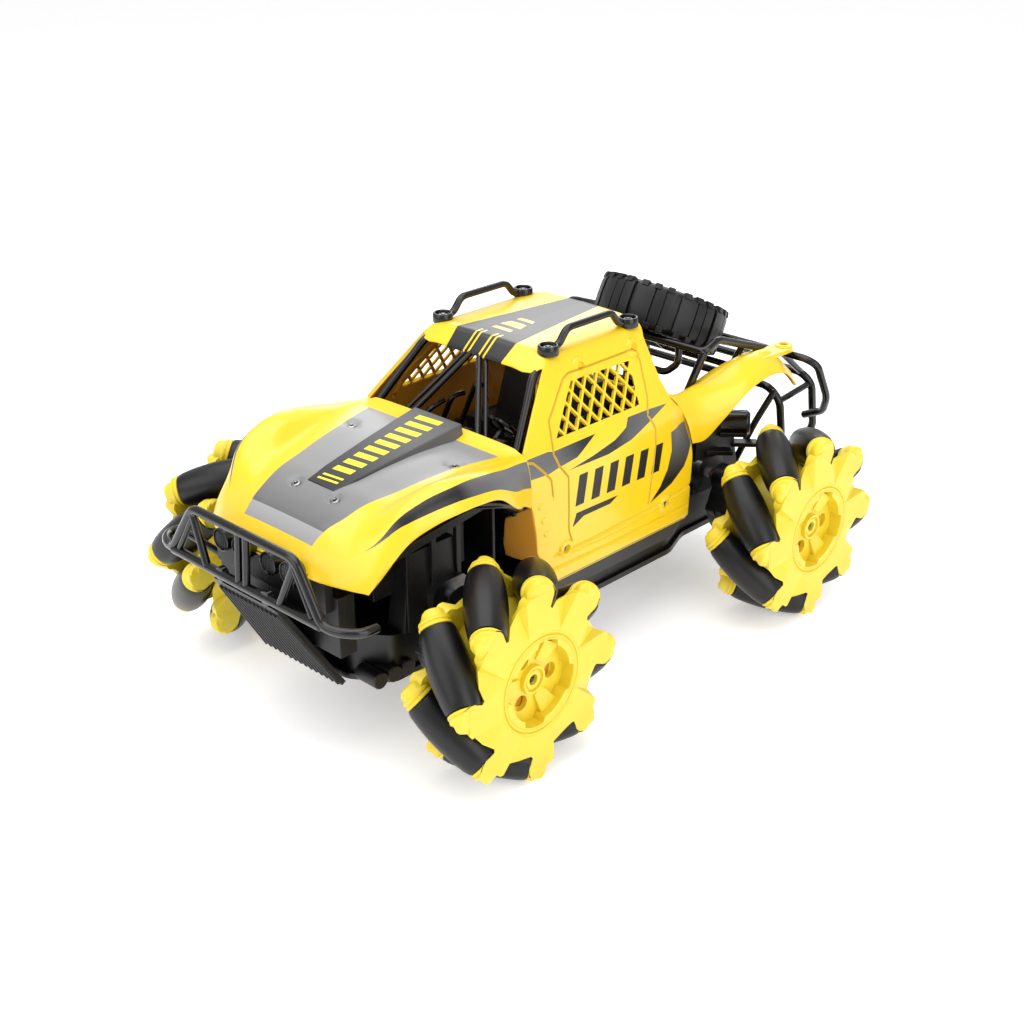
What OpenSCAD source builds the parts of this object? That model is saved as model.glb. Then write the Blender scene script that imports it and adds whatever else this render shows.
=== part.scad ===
// Radio-controlled buggy with four omnidirectional roller wheels.
// Millimetres. X runs across the car, the nose points to -Y and Z is up from the ground.
// Each wheel carries eight free rubber rollers at 45 degrees and has its own motor and gear pair.

/* [Wheels] */
// Radius of a wheel over its rollers
wheel_r = 42; // [41.5:0.25:42.5]
// Width of a wheel hub between its two faces
hub_w = 31; // [30.5:0.25:31.5]
// Distance from the middle of the car to the outer face of a wheel
wheel_face_x = 96; // [95.5:0.25:97]
// Distance between the front axle and the rear axle
wheelbase = 178.4; // [177:0.2:180]

/* [Drive] */
// Gear module of the final drive
gear_module = 0.6; // [0.6]
// Running clearance between a shaft and its bore
shaft_gap = 0.05; // [0.02:0.01:0.08]
// Radius of a motor can
motor_r = 10; // [8:0.5:10.5]

/* [Body] */
// Wall thickness of the moulded body shell
wall = 1.8; // [1.4:0.1:2.2]
// Height of the roof above the ground
roof_z = 137; // [135:0.5:138]
// Height of the lower edge of the doors
sill_z = 46; // [45.6:0.1:47]

/* [Bumper and rack] */
// Radius of the thinner frame tubes
tube_r = 1.7; // [1.5:0.1:1.9]
// Radius of the spare tyre
spare_r = 30.5; // [30:0.5:31]
// Width of the spare tyre
spare_w = 21; // [20:0.5:21]
// Tilt of the spare tyre towards the tail, in degrees
spare_tilt = 28; // [27:1:29]

/* [Underside] */
// Travel of the power switch
switch_travel = 4; // [3:0.5:5]
// Thickness of the chassis floor
floor_t = 3; // [2.8:0.1:3.1]

/* [Hidden] */
$fn = 48;
eps = 0.05;
section_t = 0.5;
corners = [["fl", 1, -1], ["fr", -1, -1], ["rl", 1, 1], ["rr", -1, 1]];
roller_count = 8;
roller_pitch = 360 / roller_count;
roller_half = 16;
roller_offset = 33.7 * wheel_r / 42;
roller_bore = 1;
core_r = 4.5;
cup_r = 6.4;
cup_from = 16.6;
hub_r = 20.25;
lobe_r = 39.2;
wheel_mid_x = wheel_face_x - hub_w / 2;
half_gap = roller_pitch / 2;
tilt_part = sin(half_gap) / sqrt(2);
end_r = sqrt(wheel_r * wheel_r - roller_half * roller_half / 2) - roller_offset;
axle_z = roller_offset * cos(half_gap) + tilt_part * roller_half + end_r * sqrt(1 - tilt_part * tilt_part);
axle_r = 2;
gear_teeth = 40;
pinion_teeth = 10;
gear_width = 5;
gear_x = 50;
gear_distance = gear_module * (gear_teeth + pinion_teeth) / 2;
pinion_lean = 60;
case_in = 46;
case_out = 59;
case_wall = 1.6;
motor_x = 16;
motor_len = 25;
floor_z = 27;
deck_z = 46.3;
door_w = 50;
screw_hole_r = 1.3;
// Seats of the four bonnet screw heads
bonnet_screws = [[11.6, -113.1, 101.9], [-11.6, -113.1, 101.9], [30.5, -68.7, 106.12], [-30.5, -68.7, 106.12]];
screw_pocket_r = 2.3;
// Sides of a web of the hub plate, measured from its own middle line; the near side faces its roller
web_near = 2.2;
web_far = 4.2;
door_screws = [[-26.6, 59.5], [40, 60]];
rail_x = 30.4;
rail_cups = [-16, 32.9];
hinge_y = -36.8;
hinge_z = floor_z + 0.98;
spare_y = 92;
spare_z = 119.2;
// Height of the two battery cells' middle, just clear of the lid
battery_z = floor_z + 11.3;
// Top of the pegs that carry the circuit board
peg_top = 55.3;
// Places of the four lamps across the car
lamp_x = [-20.2, -8.6, 8.6, 20.2];

// ---- helpers ----

// A round bar from point p to point q
module bar(p, q, r) {
    d = q - p;
    len = norm(d);
    translate(p)
        rotate([0, acos(d[2] / len), atan2(d[1], d[0])])
            cylinder(h = len, r = r, $fn = 24);
}

// A bent tube through a list of points, with slightly proud ball corners
module tube(points, r) {
    for (i = [0:len(points) - 2]) bar(points[i], points[i + 1], r);
    for (p = points) translate(p) sphere(r = r * 1.08, $fn = 24);
}

// A bent tube with blended corners, for frames that hold no bore
module blended_tube(points, r) {
    for (i = [0:len(points) - 2]) hull() {
        translate(points[i]) sphere(r = r, $fn = 10);
        translate(points[i + 1]) sphere(r = r, $fn = 10);
    }
}

// Repeats children on both sides of the car
module both_sides() {
    children();
    mirror([1, 0, 0]) children();
}

// Thin cross-section of a closed outline in the XZ plane, at position y
module section(y, points) {
    translate([0, y + section_t / 2, 0]) rotate([90, 0, 0]) linear_extrude(section_t) polygon(points);
}

// Outline with its half drawn for x > 0 and completed on the other side
function full(half) = concat(half, [for (i = [len(half) - 1:-1:0]) [-half[i][0], half[i][1]]]);

// Solid between neighbouring cross-sections of a list of [y, half outline]
module loft(list) {
    for (i = [0:len(list) - 2]) {
        hull() {
            section(list[i][0], full(list[i][1]));
            section(list[i + 1][0], full(list[i + 1][1]));
        }
    }
}

// Places a wheel part; its own +X points out of the car
module at_wheel(side, end) {
    translate([0, end * wheelbase / 2, axle_z])
        mirror([side < 0 ? 1 : 0, 0, 0])
            children();
}

// Turns a drawing in the XY plane to face along X, with its X axis along Y
module face_x(x) {
    translate([x, 0, 0]) rotate([90, 0, 90]) children();
}

// Places a roller part with its own Z axis along the roller
module at_roller(k) {
    translate([wheel_mid_x, 0, 0])
        rotate([half_gap + roller_pitch * k - 90, 0, 0])
            translate([0, 0, roller_offset])
                rotate([0, 0, -45]) rotate([0, 90, 0])
                    children();
}

// ---- wheels ----

// Radius of the rubber at distance s from the middle of a roller
function barrel_r(s) = sqrt(wheel_r * wheel_r - s * s / 2) - roller_offset;

// Rubber sleeve and plastic core of one roller
module roller(k) {
    steps = 8;
    profile = concat(
        [[core_r + shaft_gap, roller_half]],
        [[core_r + shaft_gap, -roller_half]],
        [for (i = [-steps:steps]) let (s = roller_half * i / steps) [barrel_r(s), s]]
    );
    at_roller(k) {
        rotate_extrude() polygon(profile);
        translate([0, 0, -roller_half - 0.3]) difference() {
            cylinder(h = 2 * roller_half + 0.6, r = core_r);
            translate([0, 0, -1]) cylinder(h = 2 * roller_half + 3, r = roller_bore + shaft_gap);
        }
    }
}

// Outline of one hub plate: a disc with a web out to each roller cup
module lobed_plate(dir) {
    circle(r = hub_r + 1.5, $fn = 64);
    for (k = [0:roller_count - 1]) {
        rotate(half_gap + roller_pitch * k + dir * 26)
            translate([16, dir > 0 ? -web_near : -web_far]) square([20, web_near + web_far]);
    }
}

module wheel_hub() {
    half = hub_w / 2;
    color("gold") difference() {
        union() {
            face_x(wheel_mid_x - half) cylinder(h = hub_w, r = 19);
            face_x(wheel_mid_x + half - 3.2) linear_extrude(3.2) lobed_plate(1);
            face_x(wheel_mid_x - half) linear_extrude(3.2) lobed_plate(-1);
            intersection() {
                face_x(wheel_mid_x - half) cylinder(h = hub_w, r = lobe_r, $fn = 96);
                for (k = [0:roller_count - 1]) at_roller(k) {
                    translate([0, 0, cup_from]) cylinder(h = 9, r = cup_r);
                    translate([0, 0, -cup_from - 9]) cylinder(h = 9, r = cup_r);
                }
            }
        }
        face_x(wheel_face_x - 5.4) cylinder(h = 6, r = 15.2);
        face_x(wheel_face_x - 9) difference() {
            cylinder(h = 9, r = 16.4);
            translate([0, 0, -1]) cylinder(h = 11, r = 13);
        }
        face_x(wheel_face_x - 0.7) difference() {
            cylinder(h = 2, r = hub_r + 0.35);
            translate([0, 0, -1]) cylinder(h = 4, r = hub_r - 0.35);
        }
        for (a = [-3, 117, 237]) face_x(wheel_face_x - 12)
            rotate(a) translate([9.7, 0]) cylinder(h = 12, r = 3.2);
        face_x(wheel_mid_x - half - 1) cylinder(h = hub_w, r = axle_r + shaft_gap);
        face_x(wheel_mid_x - half - 1) cylinder(h = 6, r = 5 + shaft_gap, $fn = 6);
        face_x(wheel_face_x - 8) cylinder(h = 8, r = 3.3);
        for (k = [0:roller_count - 1]) at_roller(k)
            translate([0, 0, -21]) cylinder(h = 42, r = roller_bore + shaft_gap);
    }
}

// Stub axle with hex drive, hub screw head, roller pins and the driven gear
module axle(dir) {
    half = hub_w / 2;
    inner = wheel_mid_x - half;
    color("silver") {
        face_x(case_in + 0.3) cylinder(h = wheel_face_x - 8 - case_in, r = axle_r);
        face_x(inner - 3) cylinder(h = 7.5, r = 5, $fn = 6);
        face_x(wheel_face_x - 7.8) difference() {
            cylinder(h = 2.2, r = 3.1);
            translate([-2.2, -0.4, 1.4]) cube([4.4, 0.8, 2]);
            translate([-0.4, -2.2, 1.4]) cube([0.8, 4.4, 2]);
        }
        for (k = [0:roller_count - 1]) at_roller(k)
            translate([0, 0, -20.4]) cylinder(h = 40.8, r = roller_bore, $fn = 24);
    }
    color("ivory") face_x(gear_x) linear_extrude(gear_width) difference() {
        gear_outline(gear_teeth, 90 + dir * (90 - pinion_lean));
        circle(r = axle_r + shaft_gap);
    }
}

// ---- gears and motors ----

// Gear outline with straight-sided teeth; one tooth points at angle first
module gear_outline(teeth, first) {
    pitch_r = gear_module * teeth / 2;
    root_r = pitch_r - 1.15 * gear_module;
    tip_r = pitch_r + 0.85 * gear_module;
    step = 360 / teeth;
    polygon([for (i = [0:teeth - 1]) for (p = [
        [root_r, -0.30],
        [pitch_r, -0.21],
        [tip_r, -0.10],
        [tip_r, 0.10],
        [pitch_r, 0.21],
        [root_r, 0.30]
    ]) p[0] * [cos(first + (i + p[1]) * step), sin(first + (i + p[1]) * step)]]);
}

// Places a part on the motor shaft; dir is +1 at the front and -1 at the rear
module at_pinion(dir) {
    a = 90 - dir * (90 - pinion_lean);
    translate([0, gear_distance * cos(a), gear_distance * sin(a)]) children();
}

module motor_pinion(dir) {
    a = 90 - dir * (90 - pinion_lean);
    color("goldenrod") at_pinion(dir) {
        face_x(gear_x - 0.5) linear_extrude(gear_width + 1)
            gear_outline(pinion_teeth, a + 180 + 180 / pinion_teeth);
        face_x(motor_x + 2) cylinder(h = case_out - case_wall - motor_x - 2.4, r = 1, $fn = 24);
    }
}

module drive_motor(dir) {
    at_pinion(dir) difference() {
        union() {
            intersection() {
                face_x(motor_x) cylinder(h = motor_len, r = motor_r);
                translate([motor_x - 1, -motor_r, -7.6]) cube([motor_len + 2, 2 * motor_r, 15.2]);
            }
            face_x(motor_x + motor_len - eps) cylinder(h = 1.6, r = 3);
        }
        face_x(motor_x + 1.5) cylinder(h = motor_len + 4, r = 1 + shaft_gap);
    }
}

module drive_motors() {
    color("dimgray") for (c = corners) at_wheel(c[1], c[2]) drive_motor(-c[2]);
}

// Hollow hexagonal case round one gear pair, with a bearing bore in each wall
module gear_case(dir) {
    span = case_out - case_in;
    difference() {
        union() {
            face_x(case_in) cylinder(h = span, r = 17.4, $fn = 6);
            at_pinion(dir) face_x(case_in) cylinder(h = span, r = 6.4);
            face_x(case_out - 1) cylinder(h = 2.8, r = 6);
        }
        face_x(case_in + case_wall) cylinder(h = span - 2 * case_wall, r = 13.4);
        at_pinion(dir) face_x(case_in + case_wall) cylinder(h = span - 2 * case_wall, r = 4.6);
        face_x(case_in - 1) cylinder(h = span + 5, r = axle_r + shaft_gap);
        at_pinion(dir) face_x(case_in - 1) cylinder(h = 5, r = 1 + shaft_gap);
    }
}

module gear_cases() {
    color("#1c1c1e") for (c = corners) at_wheel(c[1], c[2]) gear_case(-c[2]);
}

// ---- chassis ----

// Plan of the chassis, for x > 0, from nose to tail
function chassis_plan() = [
    [22, -121], [38, -110], [38, -64], [44.5, -42], [44.5, 50], [38, 66], [38, 106], [30, 122]
];

function both(points) = concat(points, [for (i = [len(points) - 1:-1:0]) [-points[i][0], points[i][1]]]);

module chassis_tub() {
    rim = 2;
    color("#202022") difference() {
        union() {
            translate([0, 0, floor_z]) linear_extrude(deck_z - floor_z - 1)
                polygon(both(chassis_plan()));
            for (end = [-1, 1]) translate([-14, end * 116 - 7, deck_z - 2]) cube([28, 14, 16]);
            both_sides() for (y = [-34, 44]) translate([34, y, deck_z - 2]) cylinder(h = 26, r = 3);
        }
        translate([0, 0, floor_z + floor_t]) linear_extrude(deck_z) difference() {
            polygon([for (p = both(chassis_plan())) [p[0] * 0.95, p[1] * 0.975]]);
            for (end = [-1, 1]) translate([-16, end * 116 - 9]) square([32, 18]);
            for (side = [-1, 1]) for (y = [-34, 44]) translate([side * 34, y]) circle(r = 3);
        }
        translate([-21.5, -38.5, floor_z - 1]) cube([43, 73, 3]);
        translate([-19, -33, floor_z]) cube([38, 64, 2 * floor_t]);
        translate([-4.2, 52, floor_z - 1]) cube([8.4, 7 + switch_travel, 3]);
        for (end = [-1, 1]) translate([0, end * 116, floor_z - 1]) cylinder(h = 60, r = 1.2, $fn = 24);
        both_sides() for (y = [-34, 44]) translate([34, y, deck_z + 4]) cylinder(h = 30, r = 1.1, $fn = 24);
    }
    // board pegs and the two stub pins of the battery door
    color("#202022") both_sides() {
        for (y = [-32.5, 32]) translate([23.2, y, floor_z + floor_t - eps])
            cylinder(h = peg_top - floor_z - floor_t, r = 1.4, $fn = 24);
        translate([16.5, hinge_y, hinge_z]) rotate([0, 90, 0]) cylinder(h = 5.5, r = 0.35, $fn = 24);
    }
}

// Hinged lid under the battery, with its pivot knuckle at the front edge
module battery_door() {
    color("#262628") difference() {
        union() {
            translate([-21.3, hinge_y + 1.6, floor_z]) cube([42.6, 69.4, 1.8]);
            translate([-18, hinge_y, hinge_z]) rotate([0, 90, 0]) cylinder(h = 36, r = 0.9);
            translate([-18, hinge_y, hinge_z - 0.4]) cube([36, 2, 0.9]);
        }
        for (y = [-26:6:26]) translate([-15, y, floor_z - 1]) cube([30, 1.2, 1.5]);
        translate([-19, hinge_y, hinge_z]) rotate([0, 90, 0]) cylinder(h = 38, r = 0.35 + shaft_gap, $fn = 24);
    }
}

module battery_pack() {
    color("royalblue") {
        for (x = [-11, 11]) translate([x, -30, battery_z]) rotate([-90, 0, 0]) cylinder(h = 58, r = 9.4);
        translate([-12, -29, battery_z + 1]) cube([24, 56, 6]);
    }
}

module circuit_board() {
    color("darkgreen") translate([-25, -34, 55.4]) cube([50, 67.5, 1.6]);
    color("black") {
        translate([-18, -20, 57]) cube([12, 12, 2.2]);
        translate([6, -22, 57]) cube([9, 16, 2]);
        translate([-17, 8, 57]) cube([9, 8, 7]);
        translate([2, 8, 57]) cylinder(h = 8, r = 3.6);
        translate([13, 8, 57]) cylinder(h = 8, r = 3.6);
    }
}

module power_switch() {
    color("crimson") {
        translate([-4, 53, floor_z + 0.3]) cube([8, 5, 1.2]);
        translate([-1.6, 54.4, floor_z - 1.2]) cube([3.2, 2.4, 3]);
    }
}

// ---- body ----

// Cross-sections of the bonnet and nose, [y, half outline], top first.
// t is 0 for the outside and the wall thickness for the hollow, which runs out below.
function nose_sections(t) = [
    for (n = [
        [-136.3 + t, [[0, 80], [22, 79.6], [24, 78.5]], [24.5, 74.5]],
        [-131.5, [[0, 88.5], [21, 87.8], [41, 81]], [43, 74.5]],
        [-126.5, [[0, 92.4], [22, 92], [46.5, 89]], [48.5, 75.5]],
        [-112, [[0, 99], [30, 98.5], [44, 103], [52, 93]], [52, 88]],
        [-96, [[0, 101.5], [36, 101.5], [47, 107], [57, 99.5]], [57, 94]],
        [-78, [[0, 103.5], [38, 103.5], [48, 107], [58.4, 98]], [58.4, 94]],
        [-62, [[0, 105], [39, 104.5], [48, 105], [56.5, 91]], [56.5, 88]],
        [-46, [[0, 107], [42, 106.5], [48.5, 103]], [52, 84]]
    ]) [n[0], concat(
        [for (p = n[1]) [max(p[0] - t, 0), p[1] - t]],
        [[n[2][0] - t, n[2][1] - 4 * t], [0, n[2][1] - 4 * t]]
    )]
];

// Cross-section polygon shrunk by t, with its floor pushed down so that the hollow runs out below
function inset(points, t) = [
    for (p = points) [max(p[0] - t, 0), p[1] - (p[1] < sill_z + 1 ? 3 * t : t)]
];

// Box of the cab below the windows
module lower_cab(t) {
    side = [[0, 102.6], [48.3, 102.4], [door_w, 86], [door_w, sill_z], [0, sill_z]];
    tail = [[0, 93], [45, 92.6], [door_w, 80], [door_w, sill_z], [0, sill_z]];
    hull() {
        section(-46 + t, full(inset(side, t)));
        section(45 - t, full(inset(side, t)));
        section(56 - t, full(inset(tail, t)));
    }
}

// Tapered top of the cab, from the belt line to the roof
module upper_cab(t) {
    belt = [[0, 103.6], [47.9, 103], [48.2, 99.6], [0, 99.6]];
    roof = [[0, roof_z], [33, 133.6], [36.5, 126], [36.5, 120], [0, 120]];
    hull() {
        section(-45 + t, full(inset(belt, t)));
        section(-22, full(inset(roof, t)));
        section(36 - t, full(inset(roof, t)));
        section(44.5 - t, full(inset(belt, t)));
    }
}

// Rear wing: a curved arm from the side of the cab over the rear wheel to a screw ear
function wing_stations() = [
    [50, 40, 97, 50, 80],
    [62, 42, 101, 53, 83],
    [74, 44, 106, 57, 92],
    [88, 46, 109, 59.5, 99],
    [102, 47, 109.5, 59.5, 101.5],
    [112, 47.5, 109.3, 58.5, 97.5],
    [120.5, 52, 104, 57, 91]
];

module rear_wing() {
    stations = wing_stations();
    for (i = [0:len(stations) - 2]) hull() for (s = [stations[i], stations[i + 1]]) {
        section(s[0], [[s[1], s[2]], [s[1], s[2] - wall], [s[3] - 1, s[4]], [s[3], s[4] + 1]]);
    }
    hull() {
        translate([49.5, 109, 106.4]) cylinder(h = 2.2, r = 3, $fn = 20);
        translate([49.4, 121, 106.4]) cylinder(h = 2.2, r = 4, $fn = 20);
    }
}

// Diamond openings of the side window, kept whole where they fall inside its outline
module lattice_openings() {
    step_y = 7.6;
    step_z = 9.4;
    half_y = 2.9;
    half_z = 3.7;
    for (i = [-4:4]) for (j = [-3:3]) {
        y = 4 + i * step_y + (abs(j) % 2) * step_y / 2;
        z = 113 + j * step_z / 2;
        front = -21 + (z - 103.5) * 0.52;
        if (y > front + 4 && y < 24.5 && z > 106 && z < 121)
            polygon([[y - half_y, z], [y, z + half_z], [y + half_y, z], [y, z - half_z]]);
    }
}

module body_shell() {
    color("gold") {
        difference() {
            union() {
                loft(nose_sections(0));
                lower_cab(0);
                upper_cab(0);
                scoop();
            }
            loft(nose_sections(wall));
            lower_cab(wall);
            upper_cab(wall);
            // windscreen
            hull() {
                section(-50, [[-38, 109], [38, 109], [31.5, 130], [-31.5, 130]]);
                section(-10, [[-38, 109], [38, 109], [31.5, 130], [-31.5, 130]]);
            }
            // rear window
            translate([-29, 20, 106]) cube([58, 40, 22]);
            // open rear and front bulkheads
            translate([-44, 30, sill_z - 3]) cube([88, 40, 34.3]);
            translate([-44, -60, sill_z - 3]) cube([88, 20, 44]);
            face_x(-60) linear_extrude(120) lattice_openings();
            screw_holes();
        }
        both_sides() rear_wing();
    }
}

// Raised wedge on the bonnet, wider towards the windscreen
module scoop() {
    hull() {
        section(-110.5, [[-7.8, 98], [7.8, 98], [7.8, 99.5], [-7.8, 99.5]]);
        section(-48.5, [[-14.5, 100], [14.5, 100], [13.5, 109.5], [-13.5, 109.5]]);
    }
}

module screw_holes() {
    for (p = bonnet_screws) {
        translate([p[0], p[1], 80]) cylinder(h = 40, r = screw_hole_r, $fn = 16);
        translate(p - [0, 0, eps]) cylinder(h = 8, r = screw_pocket_r, $fn = 24);
    }
    for (p = door_screws) translate([-60, p[0], p[1]]) rotate([0, 90, 0])
        cylinder(h = 120, r = screw_hole_r, $fn = 16);
    for (x = [-rail_x, rail_x]) for (y = rail_cups)
        translate([x, y, 128]) cylinder(h = 12, r = screw_hole_r, $fn = 16);
}

// Flat outer door skin on each side, held by three screws
module side_panels() {
    color("gold") both_sides() difference() {
        face_x(door_w + 0.05) linear_extrude(1.1) polygon([
            [-40, 84], [-30, 92], [28, 88], [40, 80], [52, 62], [52, 52], [-34, 52], [-40, 60]
        ]);
        for (p = door_screws) face_x(door_w - 2)
            translate(p) cylinder(h = 8, r = screw_hole_r, $fn = 24);
    }
}

module body_screws() {
    color("silver") {
        for (p = bonnet_screws) translate(p) screw(5);
        both_sides() for (p = door_screws)
            translate([door_w + 1.3, p[0], p[1]]) rotate([0, 90, 0]) screw(5);
        both_sides() for (y = rail_cups) translate([rail_x, y, 137]) screw(6);
    }
}

// Pan-head screw whose head sits on z = 0 and whose shank hangs below
module screw(length) {
    difference() {
        cylinder(h = 1.1, r = 2.1, $fn = 24);
        translate([-1.4, -0.3, 0.6]) cube([2.8, 0.6, 1]);
        translate([-0.3, -1.4, 0.6]) cube([0.6, 2.8, 1]);
    }
    translate([0, 0, -length]) cylinder(h = length + eps, r = 1.15, $fn = 24);
}

// ---- outside fittings ----

// Roof rail: two cups joined by a raised bar
module roof_rails() {
    rail_cup_r = 4.2;
    front = rail_cups[0];
    back = rail_cups[1];
    color("#1c1c1e") both_sides() {
        for (y = rail_cups) difference() {
            translate([rail_x, y, 134.7]) cylinder(h = 4.4, r = rail_cup_r);
            translate([rail_x, y, 136.9]) cylinder(h = 5, r = 3);
            translate([rail_x, y, 130]) cylinder(h = 10, r = screw_hole_r, $fn = 24);
        }
        blended_tube([
            [rail_x, front + 3.7, 136.6], [rail_x, front + 10, 142.5],
            [rail_x, back - 10, 142.5], [rail_x, back - 3.7, 136.6]
        ], 1.6);
    }
}

module roll_cage() {
    color("#161618") {
        translate([-42, -52, 78]) cube([84, 90, 2]);
        both_sides() {
            tube([[38, -42, 81], [39, -37.5, 104], [29.5, -20, 128], [29.5, 30, 128], [38, 36, 81]], tube_r);
            bar([3, -37, 104], [13, -19.5, 127.5], 1.1);
        }
        bar([-29.5, -20, 128], [29.5, -20, 128], tube_r);
        bar([-29.5, 30, 128], [29.5, 30, 128], tube_r);
        translate([-34, -43.5, 79.9]) cube([68, 8, 19]);
        both_sides() translate([8, -8, 79.9]) {
            cube([20, 20, 7]);
            translate([0, 17, 0]) cube([20, 6, 32]);
        }
    }
}

module front_bumper() {
    low_r = 1.9;
    strut_r = 1.4;
    color("#1c1c1e") difference() {
        union() {
            both_sides() {
                blended_tube([[0, -148, 91.9], [30, -148, 91.9], [34, -147.9, 90], [45, -149, 71.5]], tube_r);
                blended_tube([[0, -150, 70.6], [44, -149.5, 70.6], [53, -147.5, 70.4]], low_r);
                blended_tube([[53, -147.5, 70.4], [59, -142.5, 70.2], [59, -136, 70]], low_r);
                blended_tube([[33, -148, 88], [22, -150, 71]], strut_r);
                blended_tube([[58, -138, 70], [26, -117, 48]], strut_r);
                blended_tube([[2, -148, 91], [2, -150, 71]], strut_r);
            }
            skid_plate();
            translate([-10, -127, 33]) cube([20, 5.95, 6]);
        }
        for (x = [-13.9, 13.9]) translate([x, -155, 70.6]) rotate([-90, 0, 0]) cylinder(h = 14, r = 1.5, $fn = 16);
    }
}

// Ribbed plate that slopes from the bumper down to the chassis floor
module skid_plate() {
    foot = [0, -122.2, 26.9];
    slope = 121.7;
    length = 50;
    translate(foot) rotate([slope, 0, 0]) {
        linear_extrude(2.2) polygon([[-24.3, 0], [24.3, 0], [19, length], [-19, length]]);
        translate([0, 0, 2.1]) linear_extrude(0.9) for (i = [-7:7])
            polygon([[3.2 * i - 0.5, 1], [3.2 * i + 0.5, 1], [2.5 * i + 0.5, length - 2], [2.5 * i - 0.5, length - 2]]);
    }
}

// Four lamp pods on a bar between the bumper and the nose
module headlamps() {
    color("#101012") {
        for (x = lamp_x) translate([x, -137.6, 81]) rotate([90, 0, 0]) {
            cylinder(h = 6, r = 4.6);
            translate([0, 0, 5.9]) cylinder(h = 1.2, r = 3.8);
        }
        translate([-24, -139, 76.6]) cube([48, 1.5, 2.8]);
        for (x = [-15, 15]) translate([x - 1.5, -139, 72.6]) cube([3, 1.5, 5]);
    }
}

// Tubular rack that carries the spare tyre, with the rear guard hoops
module rear_frame() {
    rail = 43;
    strut_r = 1.4;
    color("#1c1c1e") {
        both_sides() {
            blended_tube([[0, 70, 116.6], [rail, 70, 116.6], [rail, 78, 119.8], [rail, 98, 112.6]], tube_r);
            blended_tube([[rail, 98, 112.6], [rail, 123.5, 103.6]], tube_r);
            blended_tube([[rail, 70, 116.6], [37.5, 68, 98], [35, 62, 84]], tube_r);
            blended_tube([[0, 123.5, 103.6], [60, 124, 103.6], [65, 126, 101], [66, 134, 84]], tube_r);
            blended_tube([[66, 134, 84], [62, 138, 75], [50, 141, 69]], tube_r);
            blended_tube([[0, 125, 85], [40, 125, 85], [46, 126, 79], [47, 128, 60], [40, 124, 50]], tube_r);
            blended_tube([[0, 142, 89], [46, 142, 89], [51, 144, 84], [50, 150.19, 60], [40, 146, 47]], tube_r);
            blended_tube([[40, 146, 47], [30, 124.2, 38]], tube_r);
            blended_tube([[46, 126, 79], [50, 144, 84]], strut_r);
            blended_tube([[46, 124, 103.6], [46, 142, 89]], strut_r);
            blended_tube([[20, 123.5, 103.6], [20, 142, 89]], strut_r);
            blended_tube([[0, 70, 102], [22, 70, 102], [29, 70, 108], [29, 70, 116.6]], strut_r);
            blended_tube([[rail, 98, 112.6], [38, 97, 102], [0, 97, 102]], strut_r);
        }
        blended_tube([[0, 84.6, 109.9], [0, 97, 102]], strut_r);
        translate([0, spare_y, spare_z]) rotate([-spare_tilt, 0, 0])
            translate([0, 0, -spare_w / 2 - 2.4]) cylinder(h = 2.2, r = 12, $fn = 32);
    }
}

module spare_tyre() {
    lug = 1.6;
    w = spare_w / 2;
    color("#232325") translate([0, spare_y, spare_z]) rotate([-spare_tilt, 0, 0]) difference() {
        rotate_extrude($fn = 72) polygon([
            [17, -w], [spare_r - 5, -w], [spare_r - lug, -w + 3], [spare_r, -w + 5],
            [spare_r, w - 5], [spare_r - lug, w - 3], [spare_r - 5, w], [17, w]
        ]);
        for (a = [0:20:340]) rotate(a) translate([spare_r - lug, -1.1, -w]) cube([3, 2.2, 2 * w]);
    }
    color("#1c1c1e") translate([0, spare_y, spare_z]) rotate([-spare_tilt, 0, 0]) difference() {
        translate([0, 0, -w + 1]) cylinder(h = 2 * w - 4, r = 16.9);
        translate([0, 0, -w + 4]) cylinder(h = 2 * w, r = 14);
    }
}

// ---- assembly ----

chassis_tub();
gear_cases();
drive_motors();
body_shell();
side_panels();
body_screws();
roof_rails();
roll_cage();
front_bumper();
headlamps();
rear_frame();
spare_tyre();
battery_pack();
battery_door();
circuit_board();
power_switch();
for (c = corners) {
    at_wheel(c[1], c[2]) wheel_hub();
    at_wheel(c[1], c[2]) axle(c[2]);
    at_wheel(c[1], c[2]) motor_pinion(-c[2]);
    for (k = [1:roller_count]) {
        at_wheel(c[1], c[2]) color("#222224") roller(k - 1);
    }
}
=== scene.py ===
# Looks of the radio-controlled buggy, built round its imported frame. Sizes below are in millimetres.
import math

import bpy
import numpy as np
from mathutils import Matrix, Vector
from mathutils.geometry import delaunay_2d_cdt


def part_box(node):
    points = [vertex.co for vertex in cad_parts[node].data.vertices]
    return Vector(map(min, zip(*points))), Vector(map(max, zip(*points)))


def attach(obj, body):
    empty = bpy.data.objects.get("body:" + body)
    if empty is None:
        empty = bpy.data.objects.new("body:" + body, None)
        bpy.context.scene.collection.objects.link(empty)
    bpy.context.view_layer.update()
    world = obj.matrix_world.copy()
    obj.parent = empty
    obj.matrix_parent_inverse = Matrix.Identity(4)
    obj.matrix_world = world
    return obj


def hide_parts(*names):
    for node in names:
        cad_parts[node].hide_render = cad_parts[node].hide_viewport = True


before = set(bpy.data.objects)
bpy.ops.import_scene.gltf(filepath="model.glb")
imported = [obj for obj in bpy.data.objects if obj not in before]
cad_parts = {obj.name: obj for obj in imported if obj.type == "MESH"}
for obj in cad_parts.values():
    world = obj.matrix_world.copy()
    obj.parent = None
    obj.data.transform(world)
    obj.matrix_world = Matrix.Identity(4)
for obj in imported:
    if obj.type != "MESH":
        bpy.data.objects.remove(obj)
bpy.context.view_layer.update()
MM = 0.001

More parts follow.
